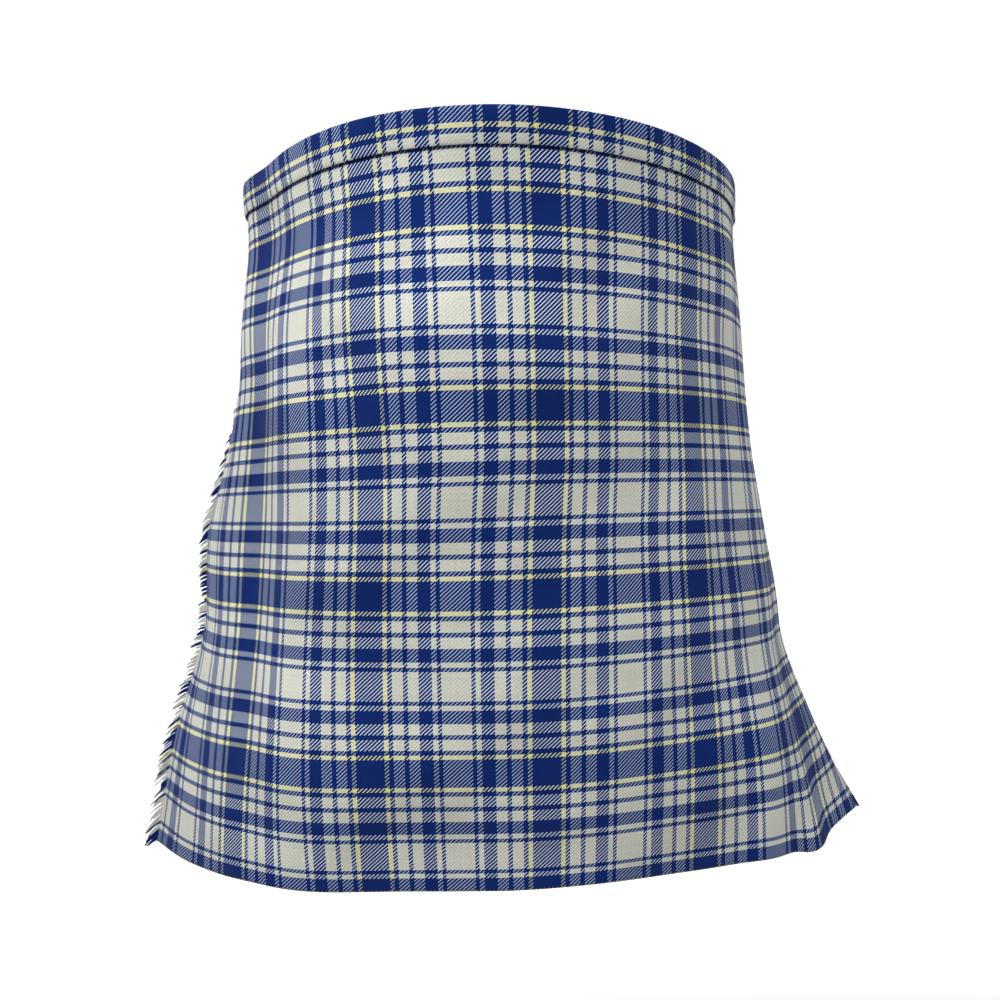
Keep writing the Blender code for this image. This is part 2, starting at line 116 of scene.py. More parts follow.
# ------------------------------------------------------------------ maths --
def smooth_table(xs, ys, x):
    h = np.diff(xs)
    d = np.diff(ys) / h
    m = np.zeros_like(ys)
    m[0], m[-1] = d[0], d[-1]
    for i in range(1, len(xs) - 1):
        if d[i - 1] * d[i] > 0:
            w1, w2 = 2 * h[i] + h[i - 1], h[i] + 2 * h[i - 1]
            m[i] = (w1 + w2) / (w1 / d[i - 1] + w2 / d[i])
    i = int(np.clip(np.searchsorted(xs, x) - 1, 0, len(xs) - 2))
    t = (x - xs[i]) / h[i]
    return (ys[i] * (1 + 2 * t) * (1 - t) ** 2 + m[i] * h[i] * t * (1 - t) ** 2
            + ys[i + 1] * t * t * (3 - 2 * t) + m[i + 1] * h[i] * t * t * (t - 1))


def linear(table, x):
    return np.interp(x, [r[0] for r in table], [r[1] for r in table])


def ease(t):
    t = np.clip(t, 0.0, 1.0)
    return t * t * (3 - 2 * t)


ROWS_OF = np.array(SECTIONS)
RING_ANGLES = np.radians(np.linspace(-180.0, 180.0, 1441))
MID = [0.0, 0.0, 0.0]


def rake(p):
    a = math.radians(RAKE)
    ca, sa = math.cos(a), math.sin(a)
    return np.stack([p[..., 0] - MID[0],
                     p[..., 1] * ca + p[..., 2] * sa - MID[1],
                     -p[..., 1] * sa + p[..., 2] * ca - MID[2]], axis=-1) * MM


class Ring:
    """One ring of the garment at cloth height v (mm, level-ring frame)."""

    def __init__(self, v, small=True, folds=True):
        s = {n: float(smooth_table(ROWS_OF[:, 0], ROWS_OF[:, k], v))
             for k, n in enumerate(COLUMNS)}
        sn, cs = np.sin(RING_ANGLES), np.cos(RING_ANGLES)
        front, left = cs >= 0, sn >= 0
        power = 2.0 / np.where(front, np.where(left, s["round_left"], s["round_right"]),
                               s["round_back"])
        half = np.where(left, s["half_left"], s["half_right"])
        depth = np.where(front, s["front_depth"], s["back_depth"])
        x = s["mid_x"] + half * np.sign(sn) * np.abs(sn) ** power
        y = s["front_y"] + s["front_depth"] - depth * np.sign(cs) * np.abs(cs) ** power
        lift = np.where(left, s["lift_left"], s["lift_right"])
        z = s["front_z"] + np.where(front, lift * (1 - cs),
                                    lift + (s["lift_back"] - lift) * cs ** 2 * (3 + 2 * cs))
        dx, dy = np.gradient(x), np.gradient(y)
        size = np.hypot(dx, dy) + 1e-9
        nx, ny = dy / size, -dx / size
        run = np.concatenate([[0.0], np.cumsum(np.hypot(np.diff(x), np.diff(y)))])
        run = (run - np.interp(s["zero_x"], x[front], run[front])) / SETT
        push = np.zeros_like(x)
        shaped = (FOLDS + (SMALL_FOLDS if small else ())) if folds else ()
        for across, down, hw, hl, rise, lean in shaped:
            dv = v - down
            push += rise * np.exp(-((run - across - lean * dv) / hw) ** 2) \
                * math.exp(-(dv / hl) ** 2)
        for across, down, hw, hl, rise in (LIFTS if folds else ()):
            z = z + rise * np.exp(-((run - across) / hw) ** 2) \
                * math.exp(-((v - down) / hl) ** 2)
        x, y = x + nx * push, y + ny * push
        run = np.concatenate([[0.0], np.cumsum(np.sqrt(
            np.diff(x) ** 2 + np.diff(y) ** 2 + np.diff(z) ** 2))])
        run = (run - np.interp(s["zero_x"], x[front], run[front])) / SETT
        self.u, self.t = run, RING_ANGLES
        self.data = np.stack([x, y, z, nx, ny], axis=1)

    def around(self):
        return float(self.u[-1] - self.u[0])

    def read(self, key, at, off):
        c = [np.interp(at, key, self.data[:, k]) for k in range(5)]
        return rake(np.stack([c[0] + c[3] * off, c[1] + c[4] * off, c[2]], axis=-1))

    def at(self, u, off=0.0):
        u = np.asarray(u, float)
        return self.read(self.u, np.where(u > self.u[-1], u - self.around(), u), off)

    def at_angle(self, degrees, off=0.0):
        a = np.radians((np.asarray(degrees, float) + 180.0) % 360.0 - 180.0)
        return self.read(self.t, a, off)

    def angle_of(self, u):
        return math.degrees(float(np.interp(u, self.u, self.t)))


_rings = {}


def ring(v):
    key = round(float(v), 6)
    if key not in _rings:
        _rings[key] = Ring(key)
    return _rings[key]


def set_origin():
    FOLDED = (FOLDS, SMALL_FOLDS)
    s = {n: ROWS_OF[0, k] for k, n in enumerate(COLUMNS)}
    # the four quarter points of the top ring, as the solids have them
    pts = np.array([
        (s["mid_x"], s["front_y"], s["front_z"]),
        (s["mid_x"] + s["half_left"], s["front_y"] + s["front_depth"], s["front_z"] + s["lift_left"]),
        (s["mid_x"], s["front_y"] + s["front_depth"] + s["back_depth"], s["front_z"] + s["lift_back"]),
        (s["mid_x"] - s["half_right"], s["front_y"] + s["front_depth"], s["front_z"] + s["lift_right"])])
    MID[:] = [0.0, 0.0, 0.0]
    m = rake(pts).mean(axis=0) / MM
    MID[:] = [float(c) for c in m]


set_origin()


def noise1(n, seed, smooth=1):
    """n values from -1 to 1, the same each run."""
    r = np.random.default_rng(seed).uniform(-1, 1, n + 2 * smooth)
    k = np.ones(2 * smooth + 1) / (2 * smooth + 1)
    return np.convolve(r, k, mode="valid")[:n]


# --------------------------------------------------------------- materials --
def srgb(r, g, b):
    def f(c):
        c /= 255.0
        return c / 12.92 if c <= 0.04045 else ((c + 0.055) / 1.055) ** 2.4
    return (f(r), f(g), f(b), 1.0)


def dyed(r, g, b):
    """A yarn's colour, kept as the eye reads it until the yarns are mixed."""
    return (r / 255.0, g / 255.0, b / 255.0, 1.0)


BLUE = dyed(14, 47, 118)
WHITE = dyed(233, 235, 221)
YELLOW = dyed(255, 250, 160)
TONE = 1.04             # how much of the light dyed wool gives back

# Half a repeat, from the blue pivot (0) to the white pivot (1): where each
# colour of yarn starts
HALF_SETT = ((0.0, BLUE), (0.1632, YELLOW), (0.2144, BLUE), (0.2658, WHITE), (0.392, BLUE),
             (0.4454, WHITE), (0.5736, BLUE), (0.7256, WHITE), (0.785, BLUE), (0.8282, WHITE))


class Nodes:
    """Short spellings for building a node tree."""

    def __init__(self, name):
        self.mat = bpy.data.materials.new(name)
        self.mat.use_nodes = True
        self.t = self.mat.node_tree
        self.bsdf = self.t.nodes["Principled BSDF"]

    def put(self, socket, value):
        if isinstance(value, bpy.types.NodeSocket):
            self.t.links.new(value, socket)
        elif value is not None:
            socket.default_value = value

    def math(self, op, a, b=None, c=None, clamp=False):
        n = self.t.nodes.new("ShaderNodeMath")
        n.operation, n.use_clamp = op, clamp
        for k, value in enumerate((a, b, c)):
            self.put(n.inputs[k], value)
        return n.outputs[0]

    def span(self, value, a, b, to_a=0.0, to_b=1.0, smooth=True):
        n = self.t.nodes.new("ShaderNodeMapRange")
        n.interpolation_type = "SMOOTHSTEP" if smooth else "LINEAR"
        for k, v in zip(("Value", "From Min", "From Max", "To Min", "To Max"),
                        (value, a, b, to_a, to_b)):
            self.put(n.inputs[k], v)
        return n.outputs[0]

    def mix(self, fac, a, b, blend="MIX"):
        n = self.t.nodes.new("ShaderNodeMix")
        n.data_type, n.blend_type = "RGBA", blend
        self.put(n.inputs[0], fac)
        self.put(n.inputs[6], a)
        self.put(n.inputs[7], b)
        return n.outputs[2]

    def power(self, colour, gamma):
        n = self.t.nodes.new("ShaderNodeGamma")
        self.put(n.inputs["Color"], colour)
        n.inputs["Gamma"].default_value = gamma
        return n.outputs[0]

    def grey(self, colour):
        n = self.t.nodes.new("ShaderNodeRGBToBW")
        self.put(n.inputs[0], colour)
        return n.outputs[0]

    def uv(self, name):
        n = self.t.nodes.new("ShaderNodeUVMap")
        n.uv_map = name
        s = self.t.nodes.new("ShaderNodeSeparateXYZ")
        self.t.links.new(n.outputs[0], s.inputs[0])
        return s.outputs[0], s.outputs[1]

    def join(self, x, y, z=0.0):
        n = self.t.nodes.new("ShaderNodeCombineXYZ")
        for k, v in enumerate((x, y, z)):
            self.put(n.inputs[k], v)
        return n.outputs[0]

    def object_coordinates(self):
        return self.t.nodes.new("ShaderNodeTexCoord").outputs["Object"]

    def noise(self, where, scale, detail=2.0, rough=0.5):
        n = self.t.nodes.new("ShaderNodeTexNoise")
        self.put(n.inputs["Vector"], where)
        n.inputs["Scale"].default_value = scale
        n.inputs["Detail"].default_value = detail
        n.inputs["Roughness"].default_value = rough
        return n.outputs[0]

    def white_noise(self, where):
        n = self.t.nodes.new("ShaderNodeTexWhiteNoise")
        n.noise_dimensions = "2D"
        self.put(n.inputs["Vector"], where)
        return n.outputs[0]

    def ramp(self, fac, stops, hard=True):
        n = self.t.nodes.new("ShaderNodeValToRGB")
        r = n.color_ramp
        r.interpolation = "CONSTANT" if hard else "LINEAR"
        while len(r.elements) > 1:
            r.elements.remove(r.elements[-1])
        r.elements[0].position, r.elements[0].color = stops[0]
        for p, c in stops[1:]:
            r.elements.new(p).color = c
        self.put(n.inputs[0], fac)
        return n.outputs[0]

    def bump(self, height, distance, strength=1.0, under=None):
        n = self.t.nodes.new("ShaderNodeBump")
        n.inputs["Strength"].default_value = strength
        n.inputs["Distance"].default_value = distance
        self.put(n.inputs["Height"], height)
        if under is not None:
            self.put(n.inputs["Normal"], under)
        return n.outputs[0]


def tartan(name, band_and_hem_shadow=None, only_weft=False, tone=1.0):
    """Twill-woven tartan.  The map named cloth counts repeats across and down."""
    k = Nodes(name)
    u, v = k.uv("cloth")
    pu = k.math("MULTIPLY", k.math("PINGPONG", u, 0.5), 2.0)
    pv = k.math("MULTIPLY", k.math("PINGPONG", v, 0.5), 2.0)
    warp = k.ramp(pu, HALF_SETT)
    weft = k.ramp(pv, HALF_SETT)
    a = k.math("MULTIPLY", u, ENDS)
    b = k.math("MULTIPLY", v, PICKS)
    place = k.join(a, b)
    wander = k.math("MULTIPLY", k.math("SUBTRACT", k.noise(place, 0.12, 2.0), 0.5), 0.22)
    phase = k.math("ADD", k.math("MULTIPLY", k.math("ADD", a, b), 0.25), wander)
    wave = k.math("SINE", k.math("MULTIPLY", phase, 2 * math.pi))
    # the darker yarn spreads a little over the paler one beside it, a dark weft the more
    apart = k.math("SUBTRACT", k.grey(weft), k.grey(warp))
    lean = k.math("MINIMUM", k.math("MULTIPLY", apart, 0.66), k.math("MULTIPLY", apart, 0.95))
    over = k.span(k.math("ADD", wave, lean), -0.5, 0.5)
    colour = weft if only_weft else k.mix(over, weft, warp)
    # light thrown from the dark yarn onto the pale one
    near = k.math("MULTIPLY", k.math("ABSOLUTE", apart), 0.60)
    colour = k.mix(near, colour, (0.015, 0.04, 0.09, 1.0), "ADD")
    colour = k.power(colour, 2.2)
    # yarn by yarn unevenness, and the slow one of the dyed cloth
    ends = k.white_noise(k.join(k.math("FLOOR", a), 3.0))
    picks = k.white_noise(k.join(7.0, k.math("FLOOR", b)))
    yarn = k.span(k.math("ADD", ends, picks), 0.0, 2.0, 0.93, 1.05, smooth=False)
    fuzz = k.span(k.noise(place, 0.45, 3.0, 0.6), 0.3, 0.7, 0.92, 1.06, smooth=False)
    slow = k.span(k.noise(place, 0.012, 2.0), 0.3, 0.7, 0.96, 1.03, smooth=False)
    # painted shade: each float darkens where it dives under the next
    dive_shade = k.span(k.math("ABSOLUTE", wave), 0.0, 0.75, 0.74, 1.0)
    # where both yarns are alike the twill still shows, as one side of each rib in shade
    alike = k.math("SUBTRACT", 1.0, k.math("MULTIPLY", near, 2.6), clamp=True)
    side = k.math("MULTIPLY", k.math("MULTIPLY", alike, k.math("SUBTRACT", 1.0, over)), 0.14)
    dive_shade = k.math("MULTIPLY", dive_shade, k.math("SUBTRACT", 1.0, side))
    shade = k.math("MULTIPLY", k.math("MULTIPLY", yarn, fuzz), k.math("MULTIPLY", slow, dive_shade))
    shade = k.math("MULTIPLY", shade, tone * TONE)
    if band_and_hem_shadow is not None:     # painted shadow in the seam under the band, where the cloth is pulled in, and a painted shadow line along the hem
        shade = k.math("MULTIPLY", shade, k.span(v, band_and_hem_shadow[0], band_and_hem_shadow[1], band_and_hem_shadow[2], 1.0))
        # painted shadow along the last two millimetres above the hem
        shade = k.math("MULTIPLY", shade, k.span(v, V_HEM - 0.014, V_HEM - 0.004, 1.0, 0.42))
    grey = k.join(shade, shade, shade)
    colour = k.mix(1.0, colour, grey, "MULTIPLY")
    k.put(k.bsdf.inputs["Base Color"], colour)
    # relief: rounded floats along the twill line, and single yarns across it
    ribs = k.math("ABSOLUTE", k.math("SINE", k.math("MULTIPLY", a, math.pi)))
    cross = k.math("ABSOLUTE", k.math("SINE", k.math("MULTIPLY", b, math.pi)))
    fine = k.math("ADD", k.math("MULTIPLY", ribs, over),
                  k.math("MULTIPLY", cross, k.math("SUBTRACT", 1.0, over)))
    height = k.math("ADD", k.math("MULTIPLY", k.math("ABSOLUTE", wave), 0.7),
                    k.math("MULTIPLY", fine, 0.3))
    # the cloth's own slight cockle, between the folds that are modelled
    where = k.object_coordinates()
    cockle = k.math("ADD", k.math("MULTIPLY", k.noise(where, 7.0, 1.0), 1.0),
                    k.math("MULTIPLY", k.noise(where, 19.0, 1.0), 0.28))
    soft = None if only_weft else k.bump(cockle, 0.030, 1.0)
    k.put(k.bsdf.inputs["Normal"], k.bump(height, 0.00026, 0.75, under=soft))
    k.bsdf.inputs["Roughness"].default_value = 0.86
    k.bsdf.inputs["Specular IOR Level"].default_value = 0.15
    k.bsdf.inputs["Sheen Weight"].default_value = 0.04
    k.bsdf.inputs["Sheen Roughness"].default_value = 0.45
    return k.mat


def leather(name):
    k = Nodes(name)
    p = k.object_coordinates()
    pebble = k.noise(p, 900.0, 3.0, 0.6)
    crease = k.noise(p, 160.0, 2.0, 0.55)
    worn = k.span(k.noise(p, 60.0, 3.0, 0.6), 0.42, 0.72)
    colour = k.mix(worn, srgb(22, 19, 18), srgb(48, 41, 37))
    k.put(k.bsdf.inputs["Base Color"], colour)
    k.put(k.bsdf.inputs["Roughness"], k.span(crease, 0.3, 0.7, 0.36, 0.58, smooth=False))
    k.put(k.bsdf.inputs["Normal"], k.bump(k.math("ADD", pebble, crease), 0.00018, 0.6))
    return k.mat


def thread(name):
    k = Nodes(name)
    p = k.object_coordinates()
    k.put(k.bsdf.inputs["Base Color"],
          k.mix(k.noise(p, 1500.0, 2.0), srgb(60, 56, 52), srgb(120, 112, 100)))
    k.bsdf.inputs["Roughness"].default_value = 0.7
    return k.mat


def metal(name):
    k = Nodes(name)
    p = k.object_coordinates()
    scuff = k.noise(p, 420.0, 4.0, 0.65)
    k.put(k.bsdf.inputs["Base Color"], k.mix(scuff, srgb(196, 196, 198), srgb(226, 226, 228)))
    k.bsdf.inputs["Metallic"].default_value = 1.0
    k.put(k.bsdf.inputs["Roughness"], k.span(scuff, 0.3, 0.75, 0.14, 0.34, smooth=False))
    k.put(k.bsdf.inputs["Normal"], k.bump(scuff, 0.00005, 0.4))
    return k.mat


# ---------------------------------------------------------------- building --
def link(mesh, name, mat, node=None, smooth=True):
    ob = bpy.data.objects.new(name, mesh)
    bpy.context.scene.collection.objects.link(ob)
    mesh.materials.append(mat)
    if smooth:
        mesh.shade_smooth()
    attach(ob, "root")
    if node:
        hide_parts(*([node] if isinstance(node, str) else node))
    return ob


def shell(name, a, b, cloth, mat, node=None, share=0.68, weights=None,
          round_rim=0.35):
    """A thin closed shell between two equal grids of points, rows by columns.
    cloth holds each grid point's place on the tartan.  share of the bake's map
    goes to side a, and weights say how wide each column of quads is on it."""
    rows, cols = a.shape[:2]
    n = rows * cols
    idx = np.arange(n).reshape(rows, cols)
    verts = [a.reshape(-1, 3), b.reshape(-1, 3)]
    # perimeter, once round, and its rounded rim
    edge = np.concatenate([idx[0, :-1], idx[:-1, -1], idx[-1, :0:-1], idx[:0:-1, 0]])
    inward = np.concatenate([idx[1, :-1], idx[:-1, -2], idx[-2, :0:-1], idx[:0:-1, 1]])
    fa, fb = verts[0][edge], verts[1][edge]
    out = (fa + fb) / 2 - (verts[0][inward] + verts[1][inward]) / 2
    out /= np.linalg.norm(out, axis=1)[:, None] + 1e-12
    thick = np.linalg.norm(fa - fb, axis=1)[:, None]
    verts.append((fa + fb) / 2 + out * thick * round_rim)
    m = len(edge)
    rim = 2 * n + np.arange(m)
    q = np.stack([idx[:-1, :-1], idx[:-1, 1:], idx[1:, 1:], idx[1:, :-1]], axis=-1).reshape(-1, 4)
    nxt = np.roll(np.arange(m), -1)
    ra = np.stack([edge, rim, rim[nxt], edge[nxt]], axis=-1)
    rb = np.stack([rim, edge + n, edge[nxt] + n, rim[nxt]], axis=-1)
    faces = np.concatenate([q[:, ::-1], q + n, ra[:, ::-1], rb[:, ::-1]])
    mesh = bpy.data.meshes.new(name)
    pts = np.concatenate(verts)
    mesh.vertices.add(len(pts))
    mesh.vertices.foreach_set("co", pts.astype(np.float32).ravel())
    mesh.loops.add(faces.size)
    mesh.loops.foreach_set("vertex_index", faces.astype(np.int32).ravel())
    mesh.polygons.add(len(faces))
    mesh.polygons.foreach_set("loop_start", np.arange(0, faces.size, 4, dtype=np.int32))
    mesh.update(calc_edges=True)
    # the tartan's map
    c = cloth.reshape(-1, 2)
    place = np.concatenate([c, c, c[edge]])
    lay = mesh.uv_layers.new(name="cloth")
    lay.data.foreach_set("uv", place[faces.ravel()].astype(np.float32).ravel())
    # the bake's map
    w = np.ones(cols - 1) if weights is None else np.asarray(weights, float)
    gu = np.concatenate([[0.0], np.cumsum(w)])
    gu = 0.003 + 0.994 * gu / gu[-1]
    gv = np.linspace(0.0, 1.0, rows)
    top, low = 0.997, 0.022
    cut = low + (top - low) * (1 - share)
    uva = np.stack(np.broadcast_arrays(gu[None, :], (top - (top - cut - 0.006) * gv)[:, None]), -1)
    uvb = np.stack(np.broadcast_arrays(gu[None, :], (cut - (cut - low - 0.006) * gv)[:, None]), -1)
    uva, uvb = uva.reshape(-1, 2), uvb.reshape(-1, 2)
    t0, t1 = np.arange(m) / m, (np.arange(m) + 1) / m
    t0, t1 = 0.003 + 0.994 * t0, 0.003 + 0.994 * t1

    def strip(y0, y1):
        return np.stack([np.stack([t0, np.full(m, y0)], -1), np.stack([t0, np.full(m, y1)], -1),
                         np.stack([t1, np.full(m, y1)], -1), np.stack([t1, np.full(m, y0)], -1)], 1)
    loops = np.concatenate([uva[q[:, ::-1]], uvb[q], strip(0.002, 0.009)[:, ::-1],
                            strip(0.011, 0.018)[:, ::-1]])
    lay = mesh.uv_layers.new(name="OFBake")
    lay.data.foreach_set("uv", loops.astype(np.float32).ravel())
    return link(mesh, name, mat, node)


def apron_right(v):
    return float(linear(TAPER, v))


# the apron's material paints a shadow line under the band and another along the hem
TARTAN = tartan("tartan_apron", band_and_hem_shadow=(-0.303, -0.284, 0.30))
TARTAN_BAND = tartan("tartan_band")
TARTAN_BACK = tartan("tartan_pleats")
TARTAN_UNDER = tartan("tartan_under")
YARN = tartan("tartan_yarn", only_weft=True, tone=0.82)


def rows_between(v0, v1, n, near=None):
    v = np.linspace(v0, v1, n)
    if near is not None:
        v = np.sort(np.unique(np.round(np.concatenate([v, near]), 5)))
    return v


def over_apron():
    vs = rows_between(V_TOP + 0.012, V_HEM, 166, [-0.31, -0.296, -0.285, -0.27, -0.25])
    t = np.linspace(0, 1, 255)
    a, b, c = [], [], []
    for v in vs:
        r = ring(v)
        us = U_FRINGE + (apron_right(v) - U_FRINGE) * t
        # pulled in a little where the band's seam holds it
        dip = -0.45 * math.exp(-((v + 0.297) / 0.02) ** 2)
        # soft pucker just under the seam, dying out downwards
        fade = math.exp(-max(v + 0.28, 0.0) / 0.22)
        pucker = 0.28 * fade * (np.sin(us * 23.0 + 1.3 * np.sin(us * 5.1)) * 0.6
                                + np.sin(us * 41.0 + 2.0) * 0.4)
        # the free edge rolls very slightly
        roll = 0.9 * np.exp(-((us - us[-1]) / 0.03) ** 2) * math.sin(v * 3.1 + 0.4)
        off = dip + pucker + roll
        a.append(r.at(us, off))
        b.append(r.at(us, off - THIN))
        c.append(np.stack([us, np.full_like(us, v)], -1))
    ob = shell("over_apron_cloth", np.array(a), np.array(b), np.array(c), TARTAN, "over_apron")
    return ob


def under_apron():
    vs = rows_between(V_TOP + 0.012, V_HEM, 90)
    t = np.linspace(0, 1, 120)
    a, b, c = [], [], []
    for v in vs:
        r = ring(v)
        off = float(linear(INNER_OFF, v))
        us = U_SEAM + 0.004 + (U_UNDER - U_SEAM - 0.004) * t
        a.append(r.at(us, off))
        b.append(r.at(us, off - THIN))
        c.append(np.stack([us + 0.31, np.full_like(us, v + 0.12)], -1))
    ob = shell("under_apron_cloth", np.array(a), np.array(b), np.array(c), TARTAN_UNDER,
               "under_apron", share=0.3)
    return ob


def band(name, node, us, base, lip, v_end=V_TOP, shift=None, mat=None, share=0.85):
    """A folded band: outer leg, rolled top edge and the lip inside it."""
    us = np.asarray(us, float)
    # outline of its section: (down in setts, height over the cloth in mm), from
    # the lower edge up the outside, over the top and down the inside of the lip
    t = 1.5
    face = GAP + 0.25
    down = [V_BAND - 0.001, V_BAND - 0.006, V_BAND - 0.016, -0.325, -0.345, -0.365, -0.385, -0.405,
            -0.425, -0.445, -0.460, -0.470, -0.4765, -0.4795, -0.4800]
    high = [face + 0.7, face + 1.25, face + t, face + t + 0.22, face + t + 0.30, face + t + 0.34,
            face + t + 0.36, face + t + 0.34, face + t + 0.30, face + t + 0.22, face + t + 0.1,
            face + t - 0.1, face + t - 0.45, face + t - 0.95, face + 0.6]
    inner = [lip + 0.5, lip + 0.05, lip + 0.25, lip + 0.9, face - 0.9, face - 0.25, face, face, face,
             face, face + 0.1]
    in_down = [-0.4795, -0.474, -0.4675, -0.4665, -0.4665, -0.464, -0.455, -0.41, -0.36, -0.32,
               V_BAND - 0.004]
    vs = np.array(down + in_down)
    hs = np.array(high + inner)
    loops = []
    for v, h in zip(vs, hs):
        wav = 0.12 * np.sin(us * 9.0 + v * 20) + 0.07 * np.sin(us * 31.0)
        loops.append(ring(max(v, v_end)).at(us, base + h + wav * (1.0 if h > face + 0.3 else 0.0)))
    pts = np.array(loops)                       # section points by columns
    k, cols = pts.shape[:2]
    idx = np.arange(k * cols).reshape(k, cols)
    nxt = np.roll(idx, -1, axis=0)
    q = np.stack([idx[:, :-1], idx[:, 1:], nxt[:, 1:], nxt[:, :-1]], -1).reshape(-1, 4)
    mesh = bpy.data.meshes.new(name)
    faces = [tuple(int(i) for i in f) for f in q]
    # end caps: one face across each end of the section, cut into triangles
    caps = []
    outer = list(range(len(down)))
    inside = list(range(k - 1, len(down) - 1, -1))
    pairs = min(len(outer), len(inside))
    oi = [outer[int(round(i))] for i in np.linspace(0, len(outer) - 1, pairs)]
    for end, flip in ((0, False), (cols - 1, True)):
        ring_ids = [int(idx[i, end]) for i in range(k)]
        caps.append((ring_ids if flip else ring_ids[::-1]))
    bm = bmesh.new()
    bv = [bm.verts.new(p) for p in pts.reshape(-1, 3)]
    bf = [bm.faces.new([bv[i] for i in f]) for f in faces]
    for c in caps:
        f = bm.faces.new([bv[i] for i in c])
        bf.append(f)
    bmesh.ops.triangulate(bm, faces=bf[-2:])
    bmesh.ops.recalc_face_normals(bm, faces=bm.faces)
    bm.to_mesh(mesh)
    bm.free()
    sh = np.zeros_like(us) if shift is None else np.interp(us, [s[0] for s in shift], [s[1] for s in shift])
    # how far along the section each point lies, in repeats from the top edge
    mid = np.array([ring(max(v, v_end)).at(np.array([0.0]), base + h)[0] for v, h in zip(vs, hs)])
    run = np.concatenate([[0.0], np.cumsum(np.linalg.norm(np.diff(mid, axis=0), axis=1))]) / MM / SETT_DOWN
    top = run[len(down) - 3]
    along = top - run
    cl = np.zeros((k, cols, 2))
    cl[..., 0] = us[None, :] - sh[None, :]
    cl[..., 1] = along[:, None] + 0.002
    cl = cl.reshape(-1, 2)
    lay = mesh.uv_layers.new(name="cloth")
    bake = mesh.uv_layers.new(name="OFBake")
    tot = run[-1] + 0.02
    gu = 0.003 + 0.97 * (us - us[0]) / (us[-1] - us[0])
    for poly in mesh.polygons:
        ids = [mesh.loops[li].vertex_index for li in poly.loop_indices]
        ks = [i // cols for i in ids]
        wrap = max(ks) - min(ks) > k // 2 and len(ids) == 4
        cap = len(ids) == 3
        for li, i, kk in zip(poly.loop_indices, ids, ks):
            u, vv = cl[i]
            along_b = run[kk]
            if wrap and kk == 0:
                vv = top - tot + 0.002
                along_b = tot
            lay.data[li].uv = (u, vv)
            if cap:
                e = 0 if i % cols == 0 else 1
                bake.data[li].uv = (0.978 + 0.01 * e + 0.008 * (hs[kk] - hs.min()) / np.ptp(hs),
                                    0.01 + 0.9 * (vs[kk] - vs.min()) / np.ptp(vs))
            else:
                bake.data[li].uv = (gu[i % cols], 0.004 + 0.99 * along_b / tot)
    return link(mesh, name, mat or TARTAN_BAND, node)


def waistbands():
    right = apron_right(V_TOP)
    us = np.linspace(U_FRINGE - 0.004, right + 0.004, 260)
    ob = band("waistband_front_cloth", "waistband_front", us, 0.0, -CLOTH - 0.1,
              shift=((-2.9, 0.045), (0.0, 0.043), (1.0, 0.02), (2.0, 0.0)))
    r = ring(V_TOP)
    us = np.linspace(right + SLOT - 0.03, U_FRINGE - 0.03 + r.around(), 220)
    ob = band("waistband_back_cloth", "waistband_back", us, 0.0, -7.8, shift=((0, 0.4), (9, 0.4)))
    us = np.linspace(U_SEAM + 0.004, U_UNDER, 150)
    ob = band("waistband_under_cloth", "waistband_under", us, float(linear(INNER_OFF, V_TOP)),
              -CLOTH - 0.1, shift=((0, 0.2), (9, 0.2)))


def tucked(v, u):
    left = apron_right(v) + 0.03
    right = U_FRINGE - FRINGE_REACH / SETT - 0.03 + ring(v).around()
    a = ease(np.clip((u - left) / 0.22, 0.0, 1.0) * np.clip((right - u) / 0.22, 0.0, 1.0))
    inner = float(linear(INNER_OFF, v))
    return inner + (-1.2 - inner) * a, a


